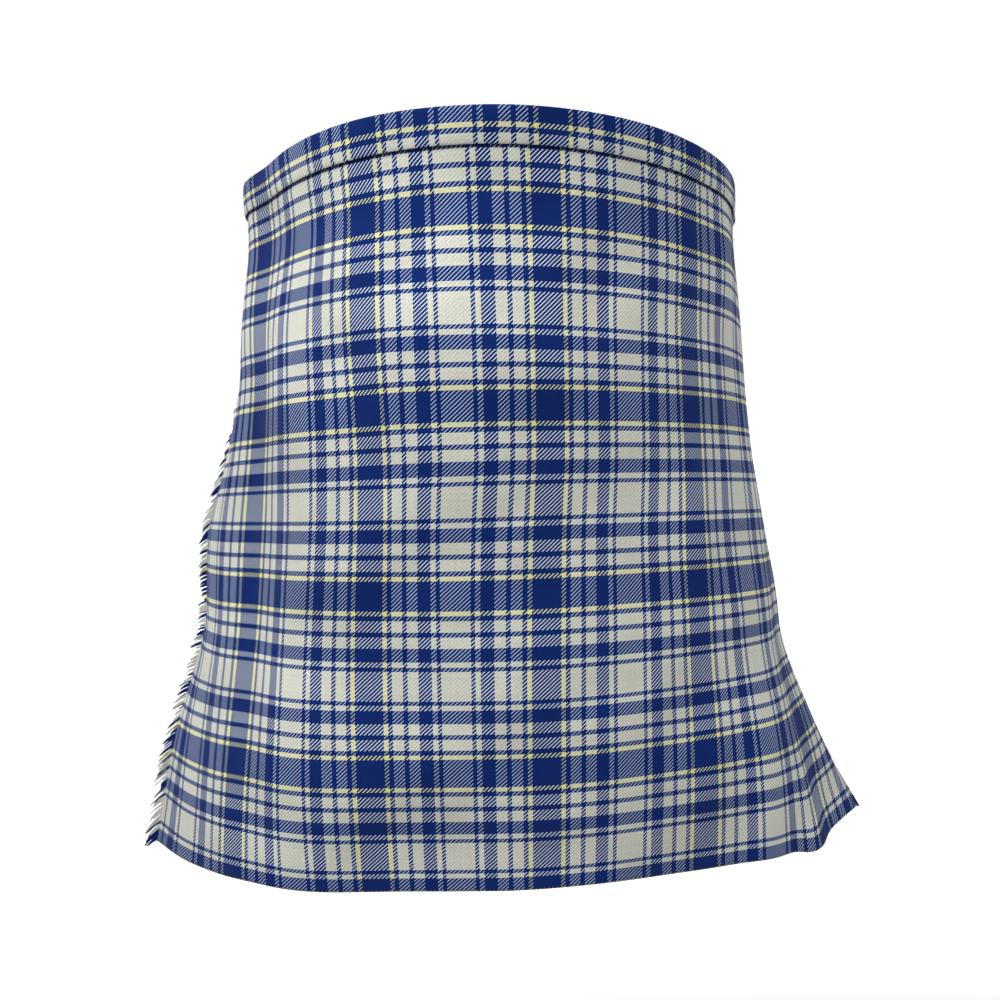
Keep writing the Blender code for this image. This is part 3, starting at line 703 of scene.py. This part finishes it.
def pleats():
    """Knife pleats as one continuous sheet: face, fold edge, return, inner fold."""
    t = 0.95                     # cloth thickness here, pressed
    lay = 1.25                   # from one layer's middle to the next
    depth = 20.0 / SETT          # how far each fold goes back
    vs = rows_between(V_TOP + 0.012, V_HEM, 60, [-0.31, -0.29])
    hip = ring(1.3)
    width = (U_SEAM + hip.around() - apron_right(1.3) - float(linear(PLEAT_BACK, 1.3))) / PLEATS
    wob = np.random.default_rng(11).uniform(-1, 1, (PLEATS + 1, 6))
    a, b, c = [], [], []
    weights = None
    for v in vs:
        r = ring(v)
        start = apron_right(v) + float(linear(PLEAT_BACK, v))
        end = U_SEAM + r.around()
        pitch = (end - start) / PLEATS
        step = float(linear(PLEAT_STEP, v))
        free_v = float(ease((v - 0.9) / 2.2))      # stitched down flat above the hip
        folds = []
        for k in range(PLEATS + 1):
            s = start + k * pitch
            if 0 < k < PLEATS:
                s += pitch * 0.07 * free_v * (wob[k, 0] * math.sin(v * 2.1 + 3 * wob[k, 1])
                                              + 0.6 * wob[k, 2])
            folds.append(s)
        pu, ph, pc, pw = [], [], [], []
        for k in range(PLEATS):
            s0, s1 = folds[k], folds[k + 1]
            rise = step * (1.0 + 0.28 * wob[k, 3] * free_v)
            colour = (k + 1) * width
            fr = np.array([0.02, 0.14, 0.32, 0.55, 0.78, 0.93])
            s = s0 + (s1 - s0) * fr - 0.006
            out, fre = tucked(v, s)
            belly = 0.10 * rise * np.sin(np.pi * fr) * fre
            h = out - 0.1 - 0.5 * step * fre + rise * fre * fr - t / 2 + belly
            pu += list(s)
            ph += list(h)
            pc += list(colour - (s1 - s))
            pw += [1.0] * 6
            hf, sf = h[-1] + 0.02 * rise, s1 - 0.006
            rr = lay / 2
            for ang in (90.0, 45.0, 0.0, -45.0, -90.0):
                g = math.radians(ang)
                pu.append(sf - rr / SETT + rr / SETT * math.cos(g))
                ph.append(hf - rr + rr * math.sin(g))
                pc.append(colour + rr * (math.radians(90 - ang)) / SETT)
                pw.append(0.5 if ang > -80 else 0.1)
            room = max(0.25, float(fre[-1]))
            for f in (0.45, 0.93):
                pu.append(sf - depth * f)
                ph.append(hf - lay - 0.1 * f)
                pc.append(colour + depth * f)
                pw.append(0.12)
            for ang in (120.0, 180.0, 240.0):
                g = math.radians(ang)
                pu.append(sf - depth + rr / SETT * math.cos(g))
                ph.append(hf - lay - 0.1 - rr + rr * math.sin(g))
                pc.append(colour + width - (s1 - s0) - depth - 0.01)
                pw.append(0.1)
            for f in (0.75, 0.40, 0.10):
                pu.append(sf - depth * f)
                ph.append(hf - 2 * lay - 0.1)
                pc.append(colour + width - (s1 - s0) - depth * f)
                pw.append(0.3)
        pu.append(folds[-1])
        out, fre = tucked(v, folds[-1])
        ph.append(float(out) - 0.1 - t / 2 - 1.5)
        pc.append(PLEATS * width + 0.01)
        pu, ph, pc = np.array(pu), np.array(ph), np.array(pc)
        if v < V_BAND + 0.01:                     # cut back at the strap's slot
            low = apron_right(v) + SLOT
            lim = low + 0.0006 * np.arange(len(pu))
            pu = np.maximum(pu, lim)
        mid = r.at(pu, ph)
        # offset to both sides along the section's own normal (across, out)
        du, dh = np.gradient(pu) * SETT, np.gradient(ph)
        size = np.hypot(du, dh) + 1e-6
        nu, nh = -dh / size, du / size
        a.append(r.at(pu + nu * t / 2 / SETT, ph + nh * t / 2))
        b.append(r.at(pu - nu * t / 2 / SETT, ph - nh * t / 2))
        c.append(np.stack([pc, np.full_like(pc, v)], -1))
        weights = np.array(pw[:len(pu) - 1])
    ob = shell("pleats_cloth", np.array(a), np.array(b), np.array(c), TARTAN_BACK, "pleats",
               weights=weights, share=0.62)
    return ob


def tube_into(bm, layers, path, radius, sides, cloth):
    """A tapered tube along path; cloth gives each path point's place on the tartan."""
    path = np.asarray(path, float)
    tang = np.gradient(path, axis=0)
    tang /= np.linalg.norm(tang, axis=1)[:, None] + 1e-12
    ref = np.array([0.0, 0.0, 1.0])
    rings_ = []
    for p, d, r in zip(path, tang, radius):
        s = np.cross(d, ref)
        s /= np.linalg.norm(s) + 1e-9
        w = np.cross(d, s)
        rings_.append([bm.verts.new(p + r * (s * math.cos(2 * math.pi * k / sides)
                                             + w * math.sin(2 * math.pi * k / sides)))
                       for k in range(sides)])
    for i, (ra, rb) in enumerate(zip(rings_, rings_[1:])):
        for k in range(sides):
            f = bm.faces.new((ra[k], ra[(k + 1) % sides], rb[(k + 1) % sides], rb[k]))
            for lp, j in zip(f.loops, (i, i, i + 1, i + 1)):
                lp[layers].uv = cloth[j]
    for ends, j in ((rings_[0][::-1], 0), (rings_[-1], len(path) - 1)):
        f = bm.faces.new(ends)
        for lp in f.loops:
            lp[layers].uv = cloth[j]


def fringe():
    """Frayed weft yarns past the over apron's edge, in uneven tapering tufts."""
    rng = np.random.default_rng(5)
    bm = bmesh.new()
    layer = bm.loops.layers.uv.new("cloth")
    v = V_BAND + 0.028
    while v < V_HEM - 0.006:
        swing = math.radians(float(linear(FRINGE_FLARE, v)) * rng.uniform(0.8, 1.12))
        size = rng.uniform(0.016, 0.040)          # tuft height in repeats
        reach = rng.uniform(12.0, 16.5) * (0.70 + 0.30 * ease((v + 0.2) / 1.2))
        if rng.random() < 0.10:
            reach *= 0.6
        droop = float(linear(FRINGE_DROOP, v)) * rng.uniform(0.75, 1.25)
        lift = rng.uniform(-0.5, 0.5)
        close = rng.uniform(0.35, 0.75)           # how far the yarns draw to a point
        n = max(4, int(size * 430))
        for j in range(n):
            vj = v + size * (j + 0.5) / n
            if vj > V_HEM - 0.003:
                break
            own = reach * rng.uniform(0.74, 1.0)
            layer_in = rng.uniform(-0.55, 0.35)   # yarns lie over and under each other
            pts = []
            path_u = np.linspace(0.0, 1.0, 6)
            gather = (0.5 - (j + 0.5) / n) * size * close
            wisp = rng.uniform(-0.0022, 0.0022)
            for f in path_u:
                du = own * f * (1 - 0.10 * f * f)
                down = droop * own * (0.35 * f + 0.65 * f ** 1.6) * 0.8 / SETT_DOWN
                down += gather * f ** 0.8 + wisp * f * f
                vv = min(vj + down, V_HEM + 0.03)
                r = ring(min(round(vv / 0.02) * 0.02, V_HEM))
                # the yarns spring out from the ring as they leave the edge
                bend = swing * min(1.0, f * 1.6)
                off = -0.65 + (lift + layer_in) * f + du * math.sin(bend)
                p = r.at(np.array([U_FRINGE + 0.004 - du * math.cos(bend) / SETT]), off)[0]
                # rows between cached rings: add the rest of the height
                rest = (vv - min(round(vv / 0.02) * 0.02, V_HEM)) * SETT_DOWN * MM
                p = p + np.array([0.0, 0.0, -rest])
                pts.append(p)
            rad = np.array([0.34, 0.42, 0.43, 0.38, 0.28, 0.09]) * MM * rng.uniform(0.85, 1.2)
            cloth = [(U_FRINGE - own * f / SETT, vj) for f in path_u]
            tube_into(bm, layer, pts, rad, 4, cloth)
        v += size * rng.uniform(0.96, 1.06)
    bmesh.ops.recalc_face_normals(bm, faces=bm.faces)
    mesh = bpy.data.meshes.new("fringe_yarns")
    bm.to_mesh(mesh)
    bm.free()
    ob = link(mesh, "fringe_yarns", YARN, "fringe")
    return ob


# ---------------------------------------------------- straps and buckles --
def flat_ring(v):
    """The ring without its folds: buckles hold a stiff, even curve."""
    key = ("flat", round(float(v), 6))
    if key not in _rings:
        _rings[key] = Ring(key[1], small=False, folds=False)
    return _rings[key]


def near_ring(v, angle, h, flat=False):
    """A point by angle and height, read between two rings a little apart."""
    k = math.floor(v / 0.02)
    f = v / 0.02 - k
    of = flat_ring if flat else ring
    return of(k * 0.02).at_angle(angle, h) * (1 - f) + of((k + 1) * 0.02).at_angle(angle, h) * f


def grid_solid(name, rows, mat, node, unit=1.0, closed=False):
    """A body from rows of equal outlines (rows by outline points, world metres).
    The outline closes on itself; the ends are capped with fans unless closed."""
    pts = np.asarray(rows, float)
    n, m = pts.shape[:2]
    bm = bmesh.new()
    vs = [[bm.verts.new(p) for p in r] for r in pts]
    bake = bm.loops.layers.uv.new("OFBake")
    along = np.concatenate([[0.0], np.cumsum(np.linalg.norm(np.diff(pts.mean(1), axis=0), axis=1))])
    if closed:
        along = np.append(along, along[-1] + np.linalg.norm(pts[0].mean(0) - pts[-1].mean(0)))
    seg = np.linalg.norm(np.roll(pts[n // 2], -1, axis=0) - pts[n // 2], axis=1)
    round_ = np.concatenate([[0.0], np.cumsum(seg)])
    au = 0.01 + 0.93 * along / along[-1]
    av = 0.01 + 0.98 * round_ / round_[-1]
    last = n if closed else n - 1
    for i in range(last):
        j = (i + 1) % n
        for k in range(m):
            f = bm.faces.new((vs[i][k], vs[i][(k + 1) % m], vs[j][(k + 1) % m], vs[j][k]))
            for lp, (x, y) in zip(f.loops, ((au[i], av[k]), (au[i], av[k + 1]),
                                            (au[i + 1], av[k + 1]), (au[i + 1], av[k]))):
                lp[bake].uv = (x, y)
    if not closed:
        for r, base in ((vs[0][::-1], 0.0), (vs[-1], 0.5)):
            c = bm.verts.new(np.mean([v.co for v in r], axis=0))
            for k in range(m):
                f = bm.faces.new((r[k], r[(k + 1) % m], c))
                for lp, q in zip(f.loops, (k, k + 1, k + 0.5)):
                    w = 2 * math.pi * q / m
                    rad = 0.0 if lp.vert is c else 1.0
                    lp[bake].uv = (0.968 + 0.02 * rad * math.cos(w), base + 0.25 + 0.2 * rad * math.sin(w))
    bmesh.ops.recalc_face_normals(bm, faces=bm.faces)
    mesh = bpy.data.meshes.new(name)
    bm.to_mesh(mesh)
    bm.free()
    return link(mesh, name, mat, node)


def smooth_path(path, most=1.3, rounds=3):
    """Points close together along a path of (place, height), corners eased."""
    out = [path[0]]
    for (a0, h0), (a1, h1) in zip(path, path[1:]):
        n = max(1, int(math.ceil(math.hypot(a1 - a0, h1 - h0) / most)))
        out += [(a0 + (a1 - a0) * k / n, h0 + (h1 - h0) * k / n) for k in range(1, n + 1)]
    p = np.array(out)
    for _ in range(rounds):
        p[1:-1] = 0.25 * p[:-2] + 0.5 * p[1:-1] + 0.25 * p[2:]
    return p


# outline of a strap's section: across (half widths) and up (thicknesses),
# with eased edges and a pressed line near each side of the face
STRAP_FACE = ((-1.0, 0.50), (-0.985, 0.78), (-0.94, 0.95), (-0.86, 1.0), (-0.80, 0.93), (-0.74, 1.0),
              (-0.30, 1.03), (0.0, 1.04), (0.30, 1.03), (0.74, 1.0), (0.80, 0.93), (0.86, 1.0),
              (0.94, 0.95), (0.985, 0.78), (1.0, 0.50), (0.97, 0.15), (0.90, 0.0), (0.3, 0.0),
              (-0.3, 0.0), (-0.90, 0.0), (-0.97, 0.15))


def strap_rows(place, path, v_mid, width, thick, ends=(0.0, 0.0)):
    """Rows of a strap's section along path.  place(t, h, w) gives a point t mm
    along, h mm over the cloth and w mm across; ends are rounding lengths."""
    path = np.asarray(path, float)
    run = np.concatenate([[0.0], np.cumsum(np.abs(np.diff(path[:, 0])) + 1e-6)])
    slope = np.gradient(path[:, 1]) / np.maximum(np.abs(np.gradient(path[:, 0])), 0.15)
    lean = 1.0 / np.hypot(1.0, np.clip(slope, -2.2, 2.2))
    rows = []
    for (t, h), r, c in zip(path, run, lean):
        w = 0.5 * width
        for end, gone in ((ends[0], r), (ends[1], run[-1] - r)):
            if end and gone < end:
                q = 1.0 - gone / end
                w *= max(0.10, 1.0 - 0.92 * q ** 1.7)
        rows.append([place(t, h + up * thick / c if up > 0.4 else h + up * thick, a * w)
                     for a, up in STRAP_FACE])
    return rows


def capsules(name, pairs, mat, rad=0.34, normals=None):
    bm = bmesh.new()
    bake = bm.loops.layers.uv.new("OFBake")
    side = 8
    total = len(pairs)
    cols = max(1, int(math.ceil(math.sqrt(total))))
    for i, ((a, b), nrm) in enumerate(zip(pairs, normals)):
        d = (b - a) / (np.linalg.norm(b - a) + 1e-12)
        nrm = nrm - d * (nrm @ d)
        nrm /= np.linalg.norm(nrm) + 1e-12
        w = np.cross(d, nrm)
        ox, oy = (i % cols) / cols, (i // cols) / cols
        rings_ = []
        for f, r, up in ((0.0, 0.25, -0.9), (0.08, 0.75, -0.35), (0.25, 1.0, 0.05), (0.5, 1.0, 0.18),
                         (0.75, 1.0, 0.05), (0.92, 0.75, -0.35), (1.0, 0.25, -0.9)):
            c = a + (b - a) * f + nrm * rad * up * MM
            rings_.append([bm.verts.new(c + rad * r * MM * (nrm * math.cos(2 * math.pi * k / side) * 0.8
                                                           + w * math.sin(2 * math.pi * k / side)))
                           for k in range(side)])
        for ri, (ra, rb) in enumerate(zip(rings_, rings_[1:])):
            for k in range(side):
                f = bm.faces.new((ra[k], ra[(k + 1) % side], rb[(k + 1) % side], rb[k]))
                for lp, (x, y) in zip(f.loops, ((ri, k), (ri, k + 1), (ri + 1, k + 1), (ri + 1, k))):
                    lp[bake].uv = (ox + (0.06 + 0.80 * x / 6) / cols, oy + (0.06 + 0.86 * y / side) / cols)
        for end, x in ((rings_[0][::-1], 0.90), (rings_[-1], 0.95)):
            f = bm.faces.new(end)
            for k, lp in enumerate(f.loops):
                g = 2 * math.pi * k / side
                lp[bake].uv = (ox + (x + 0.018 * math.cos(g)) / cols, oy + (0.5 + 0.3 * math.sin(g)) / cols)
    bmesh.ops.recalc_face_normals(bm, faces=bm.faces)
    mesh = bpy.data.meshes.new(name)
    bm.to_mesh(mesh)
    bm.free()
    return link(mesh, name, mat, None)


def hip_set(side, heel, way, strap_path, v_mid):
    """Strap, chape, buckle frame and prong at one hip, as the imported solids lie."""
    r = flat_ring(v_mid)
    p, q = r.at_angle(heel), r.at_angle(heel + 1.0)
    per_mm = 1.0 / (np.linalg.norm(p - q) / MM)
    lay = GAP + CLOTH + 0.9

    def deg(t):
        return heel + way * t * per_mm

    def place(t, h, w):
        return near_ring(v_mid + w / SETT_DOWN, deg(t), h, flat=True)

    # chape: the doubled tab round the heel bar; its slot for the prong is not cut
    ht = 2.0
    bar = lay + 4.6
    r_in = (BAR_R + 0.4) / math.cos(math.radians(15.0))
    r_out = r_in + ht
    mid_r = r_in + ht / 2
    turn = [(mid_r * math.cos(f), bar + mid_r * math.sin(f))
            for f in np.radians(np.linspace(270.0, 90.0, 15))]
    centre = ([(33.8, lay + ht / 2), (24.0, lay + ht / 2), (14.0, lay + ht / 2), (8.0, lay + ht / 2),
               (3.0, lay + ht / 2 + 0.1)] + turn
              + [(4.0, bar + mid_r - 0.35), (8.0, lay + 1.5 * ht + 1.2), (11.0, lay + 1.5 * ht + 0.45),
                 (24.0, lay + 1.5 * ht + 0.45), (33.8, lay + 1.5 * ht + 0.45)])
    c = np.array(centre)
    tan = np.gradient(c, axis=0)
    tan /= np.linalg.norm(tan, axis=1)[:, None]
    nor = np.stack([tan[:, 1], -tan[:, 0]], 1)      # away from the bar
    if np.dot(nor[12], c[12] - np.array([0.0, bar])) < 0:
        nor = -nor
    rows = []
    for k in range(len(c)):
        end = min(k, len(c) - 1 - k)
        half = 10.8 * (0.93 if end == 0 else 1.0)
        row = []
        for aw, up in ((-1.0, 0.0), (-0.97, 0.35), (-0.88, 0.5), (-0.8, 0.44), (-0.72, 0.5), (0.0, 0.52),
                       (0.72, 0.5), (0.8, 0.44), (0.88, 0.5), (0.97, 0.35), (1.0, 0.0), (0.97, -0.35),
                       (0.88, -0.5), (0.0, -0.5), (-0.88, -0.5), (-0.97, -0.35)):
            x, h = c[k] + nor[k] * up * (ht - 0.05)
            row.append(place(x, h, aw * half))
        rows.append(row)
    grid_solid("chape_%s_leather" % side, rows, LEATHER, "chape_" + side)

    # frame: one length of wire, bent to a rounded rectangle
    hw, cc = 0.5 * BUCKLE_W, 5.0
    line = []
    for ct, cw, a0 in ((-cc, hw - cc, 0.0), (-BUCKLE_L + cc, hw - cc, 90.0),
                       (-BUCKLE_L + cc, -hw + cc, 180.0), (-cc, -hw + cc, 270.0)):
        for k in range(9):
            a = math.radians(a0 + 11.25 * k)
            line.append((ct + cc * math.cos(a), cw + cc * math.sin(a)))
    line = np.array(line)
    more = []
    for k in range(len(line)):
        a, b = line[k], line[(k + 1) % len(line)]
        n = max(1, int(np.linalg.norm(b - a) / 2.4))
        more += [a + (b - a) * i / n for i in range(n)]
    line = np.array(more)
    tan = np.roll(line, -1, axis=0) - np.roll(line, 1, axis=0)
    tan /= np.linalg.norm(tan, axis=1)[:, None]
    rows = []
    for (t, w), (tx, tw) in zip(line, tan):
        row = []
        for m in range(14):
            b = 2 * math.pi * m / 14
            # a wire drawn a little flat on top
            up = BAR_R * math.sin(b) * (0.88 if math.sin(b) > 0 else 1.0)
            out = BAR_R * math.cos(b)
            row.append(place(t + tw * out, bar + up, w - tx * out))
        rows.append(row)
    grid_solid("buckle_%s_frame" % side, rows, METAL, "buckle_" + side, closed=True)

    # prong: out of the strap's hole, over the strap and down on the tip bar
    rod = [(-8.6, lay + 7.2), (-10.5, lay + 8.8), (-13.0, lay + 9.15), (-17.0, lay + 8.75),
           (-BUCKLE_L + 2.5, lay + 7.95), (-BUCKLE_L - 1.3, lay + 7.75)]
    rod = smooth_path(rod, 0.8, 2)
    rows = []
    for k, (t, h) in enumerate(rod):
        f = k / (len(rod) - 1)
        rr = 1.45 - 0.45 * f
        if k == len(rod) - 1:
            rr *= 0.55
        rows.append([place(t, h - 0.35 + rr * math.sin(b), rr * 1.05 * math.cos(b))
                     for b in 2 * math.pi * np.arange(12) / 12])
    grid_solid("prong_%s_tongue" % side, rows, METAL, "prong_" + side)

    # strap, punched for five sizes; the first hole, under the buckle, is not drawn
    low = lay + 0.1
    over = bar + r_out + 0.5
    on = lay + 2 * ht + 1.0
    tail = [(-BUCKLE_L - 9.0, low), (-BUCKLE_L + 4.0, low), (-12.0, low + 1.2), (-5.5, over - 0.6),
            (-1.0, over), (3.0, over), (14.0, on + 0.3), (35.0, on), (48.0, low + 1.2), (60.0, low)]
    start = [((a - heel) / (way * per_mm), h) for a, h in strap_path]
    path = smooth_path(start + tail, 1.5, 2)
    bend = float(start[-1][0])

    def lay_on(t, h, w):
        # over the folds of the cloth where it is sewn, even by the buckle
        a = deg(t)
        v = v_mid + w / SETT_DOWN
        even = near_ring(v, a, h, flat=True)
        near = float(ease(np.clip((t - (-BUCKLE_L - 22.0)) / 14.0, 0.0, 1.0)))
        if near >= 1.0:
            return even
        return even * near + near_ring(v, a, h) * (1 - near)

    rows = strap_rows(lay_on, path, v_mid, STRAP_W - 4.0, STRAP_T, ends=(0.0, 9.0))
    grid_solid("strap_%s_leather" % side, rows, LEATHER, "strap_" + side)

    # punched holes, each a dark well with a pressed rim
    holes = []
    for t in (-10.0, 20.5, 30.0, 39.5, 49.0):
        if t < -5:
            continue
        h = float(np.interp(t, path[:, 0], path[:, 1])) + STRAP_T * 1.04
        rowz = []
        for rad, up in ((2.15, -0.10), (2.1, 0.12), (1.85, 0.16), (1.6, 0.05), (1.5, -0.25)):
            rowz.append([lay_on(t + rad * math.cos(b), h + up, rad * math.sin(b))
                         for b in 2 * math.pi * np.arange(16) / 16])
        holes.append(rowz)
    bm = bmesh.new()
    bake = bm.loops.layers.uv.new("OFBake")
    for i, rowz in enumerate(holes):
        vs = [[bm.verts.new(p) for p in r_] for r_ in rowz]
        under = [bm.verts.new(v.co) for v in vs[0]]
        for k in range(16):
            for a in range(len(vs) - 1):
                f = bm.faces.new((vs[a][k], vs[a][(k + 1) % 16], vs[a + 1][(k + 1) % 16], vs[a + 1][k]))
                for lp, (x, y) in zip(f.loops, ((k, a), (k + 1, a), (k + 1, a + 1), (k, a + 1))):
                    lp[bake].uv = (0.02 + 0.6 * x / 16, (i + 0.1 + 0.8 * y / 5) / 5)
        for v in under:
            bm.verts.remove(v)
        c0 = bm.verts.new(np.mean([v.co for v in vs[-1]], axis=0))
        c1 = bm.verts.new(np.mean([v.co for v in vs[0]], axis=0))
        for k in range(16):
            for r_, c_, base in ((vs[-1], c0, 0.72), (vs[0][::-1], c1, 0.90)):
                f = bm.faces.new((r_[k], r_[(k + 1) % 16], c_))
                for lp, qq in zip(f.loops, (k, k + 1, 0)):
                    g = 2 * math.pi * qq / 16
                    s = 0.0 if lp.vert is c_ else 1.0
                    lp[bake].uv = (base + 0.07 * s * math.cos(g), (i + 0.5 + 0.35 * s * math.sin(g)) / 5)
    bmesh.ops.recalc_face_normals(bm, faces=bm.faces)
    mesh = bpy.data.meshes.new("strap_%s_holes" % side)
    bm.to_mesh(mesh)
    bm.free()
    link(mesh, "strap_%s_holes" % side, HOLE, None)

    # saddle stitching: round the chape's tail, and at the strap's sewn end
    pairs, ups = [], []

    def sew(points, h_top):
        line_, nrm_ = [], []
        for (t0, w0), (t1, w1) in zip(points, points[1:]):
            size = math.hypot(t1 - t0, w1 - w0)
            n = max(1, int(round(size / 3.3)))
            for i in range(n):
                f0, f1 = (i + 0.14) / n, (i + 0.86) / n
                a = (t0 + (t1 - t0) * f0, w0 + (w1 - w0) * f0)
                b = (t0 + (t1 - t0) * f1, w0 + (w1 - w0) * f1)
                m = ((a[0] + b[0]) / 2, (a[1] + b[1]) / 2)
                pa = lay_on(a[0], h_top(a[0]), a[1])
                pb = lay_on(b[0], h_top(b[0]), b[1])
                nm = lay_on(m[0], h_top(m[0]) + 2.0, m[1]) - lay_on(m[0], h_top(m[0]), m[1])
                pairs.append((pa, pb))
                ups.append(nm / np.linalg.norm(nm))

    t_a, t_b = start[0][0], start[min(2, len(start) - 1)][0]
    lo, hi = min(t_a, t_b), max(t_a, t_b)
    lo += 2.2
    hi = lo + 16.0
    top = lambda t: float(np.interp(t, path[:, 0], path[:, 1])) + STRAP_T * 1.0 + 0.05
    sew([(lo, -7.3), (hi, -7.3), (hi, 7.3), (lo, 7.3), (lo, -7.3)], top)
    sew([(lo, -7.3), (hi, 7.3)], top)
    sew([(lo, 7.3), (hi, -7.3)], top)
    chape_top = lambda t: lay + 2 * ht + 0.45 + 0.05
    sew([(12.5, -8.4), (31.6, -8.4), (31.6, 8.4), (12.5, 8.4), (12.5, -8.4)], chape_top)
    capsules("stitches_" + side, pairs, THREAD, normals=ups)


def hip_sets():
    v_mid = 0.5 * (V_TOP + V_BAND) + 0.005
    top = ring(v_mid)
    lay = GAP + CLOTH + 1.0
    edge = 360.0 + top.angle_of(U_FRINGE)
    hip_set("right", edge - 24.0, -1.0,
            [(edge + a, lay) for a in (7.0, 3.5, 0.0, -3.5, -7.0)], v_mid)
    inside = float(linear(INNER_OFF, v_mid)) - CLOTH - 0.8 - STRAP_T
    slot = apron_right(v_mid)
    way_out = ((-12.0, -6.4), (-1.5, -4.9), (1.0, -4.3), (8.5, lay - 0.25), (14.0, lay - 0.25))
    path = [(top.angle_of(U_UNDER + mm / SETT), inside) for mm in (-26.0, -14.0, -2.0, 8.0)]
    path += [(top.angle_of(slot + mm / SETT), h) for mm, h in way_out]
    hip_set("left", top.angle_of(slot + 118.0 / SETT), 1.0, path, v_mid)


LEATHER = leather("black_leather")
METAL = metal("nickel")
THREAD = thread("waxed_thread")
HOLE = leather("hole_leather")


# ---------------------------------------------------------------- the stage --
def camera():
    cam = bpy.data.objects.new("camera", bpy.data.cameras.new("camera"))
    bpy.context.scene.collection.objects.link(cam)
    bpy.context.scene.camera = cam
    cam.data.sensor_width = 36.0
    cam.data.lens = 1179.0 * 36.0 / 1000.0
    cam.data.clip_start, cam.data.clip_end = 0.05, 50.0
    a = math.radians(RAKE)
    at = rake(np.array([0.0, -850.6, 0.0]))
    fwd = Vector((0.0, math.cos(a), -math.sin(a)))
    right = Vector((1.0, 0.0, 0.0))
    up = right.cross(fwd)
    m = Matrix((right, up, -fwd)).transposed().to_4x4()
    cam.matrix_world = Matrix.Translation(Vector(at)) @ m @ Matrix.Rotation(CAMERA_ROLL, 4, "Z")
    return cam


CAMERA_ROLL = -0.0317


def plain(name, colour, rough=0.9, emit=0.0):
    k = Nodes(name)
    k.bsdf.inputs["Base Color"].default_value = colour
    k.bsdf.inputs["Roughness"].default_value = rough
    k.bsdf.inputs["Specular IOR Level"].default_value = 0.1
    return k.mat


def floor_paper():
    """Pale paper that grows brighter away towards the backdrop: a painted glow, none near the kilt and full
    far behind it.
    """
    k = Nodes("floor_paper")
    n = k.t.nodes.new("ShaderNodeSeparateXYZ")
    k.put(n.inputs[0], k.object_coordinates())
    k.bsdf.inputs["Base Color"].default_value = (0.55, 0.55, 0.55, 1.0)
    k.bsdf.inputs["Roughness"].default_value = 0.95
    k.bsdf.inputs["Specular IOR Level"].default_value = 0.0
    k.bsdf.inputs["Emission Color"].default_value = (1.0, 1.0, 1.0, 1.0)
    # painted glow, rising with distance behind the kilt
    k.put(k.bsdf.inputs["Emission Strength"], k.span(n.outputs[1], 0.15, 0.75, 0.0, 1.0))
    return k.mat


def stage():
    z = -1.06
    mesh = bpy.data.meshes.new("floor")
    s = 30.0
    mesh.from_pydata([(-s, -s, z), (s, -s, z), (s, s, z), (-s, s, z)], [], [(0, 1, 2, 3)])
    ob = bpy.data.objects.new("floor", mesh)
    bpy.context.scene.collection.objects.link(ob)
    mesh.materials.append(floor_paper())
    # a white backdrop behind, a dimmer room in front, dimmest on its right
    world = bpy.data.worlds.new("studio")
    bpy.context.scene.world = world
    world.use_nodes = True
    t = world.node_tree
    where = t.nodes.new("ShaderNodeTexCoord").outputs["Generated"]
    split = t.nodes.new("ShaderNodeSeparateXYZ")
    t.links.new(where, split.inputs[0])
    values = []
    for axis, a0, a1, b0, b1 in ((0, -1.0, 1.0, 0.59, 0.49), (1, 0.40, 0.85, 0.0, 1.0)):
        n = t.nodes.new("ShaderNodeMapRange")
        n.interpolation_type = "SMOOTHSTEP"
        for key, v in zip(("From Min", "From Max", "To Min", "To Max"), (a0, a1, b0, b1)):
            n.inputs[key].default_value = v
        t.links.new(split.outputs[axis], n.inputs["Value"])
        values.append(n.outputs[0])
    mix = t.nodes.new("ShaderNodeMix")
    mix.data_type = "FLOAT"
    t.links.new(values[1], mix.inputs[0])
    t.links.new(values[0], mix.inputs[2])
    mix.inputs[3].default_value = 1.04
    t.links.new(mix.outputs[0], t.nodes["Background"].inputs[1])
    t.nodes["Background"].inputs[0].default_value = (1.0, 1.0, 1.0, 1.0)
    for name, at, size, power, colour in (
            ("key", (-0.60, -1.15, 1.08), 0.9, 19.5, (1.0, 0.99, 0.97)),
            ("fill", (1.6, -2.2, 0.9), 1.4, 3.6, (1.0, 0.98, 0.95))):
        light = bpy.data.lights.new(name, "AREA")
        light.shape, light.size, light.energy, light.color = "SQUARE", size, power, colour
        ob = bpy.data.objects.new(name, light)
        bpy.context.scene.collection.objects.link(ob)
        ob.location = at
        ob.rotation_euler = (Vector((0, -0.1, -0.2)) - Vector(at)).to_track_quat("-Z", "Y").to_euler()
    bpy.context.scene.view_settings.view_transform = "Standard"


camera()
stage()
over_apron()
under_apron()
waistbands()
pleats()
fringe()
hip_sets()
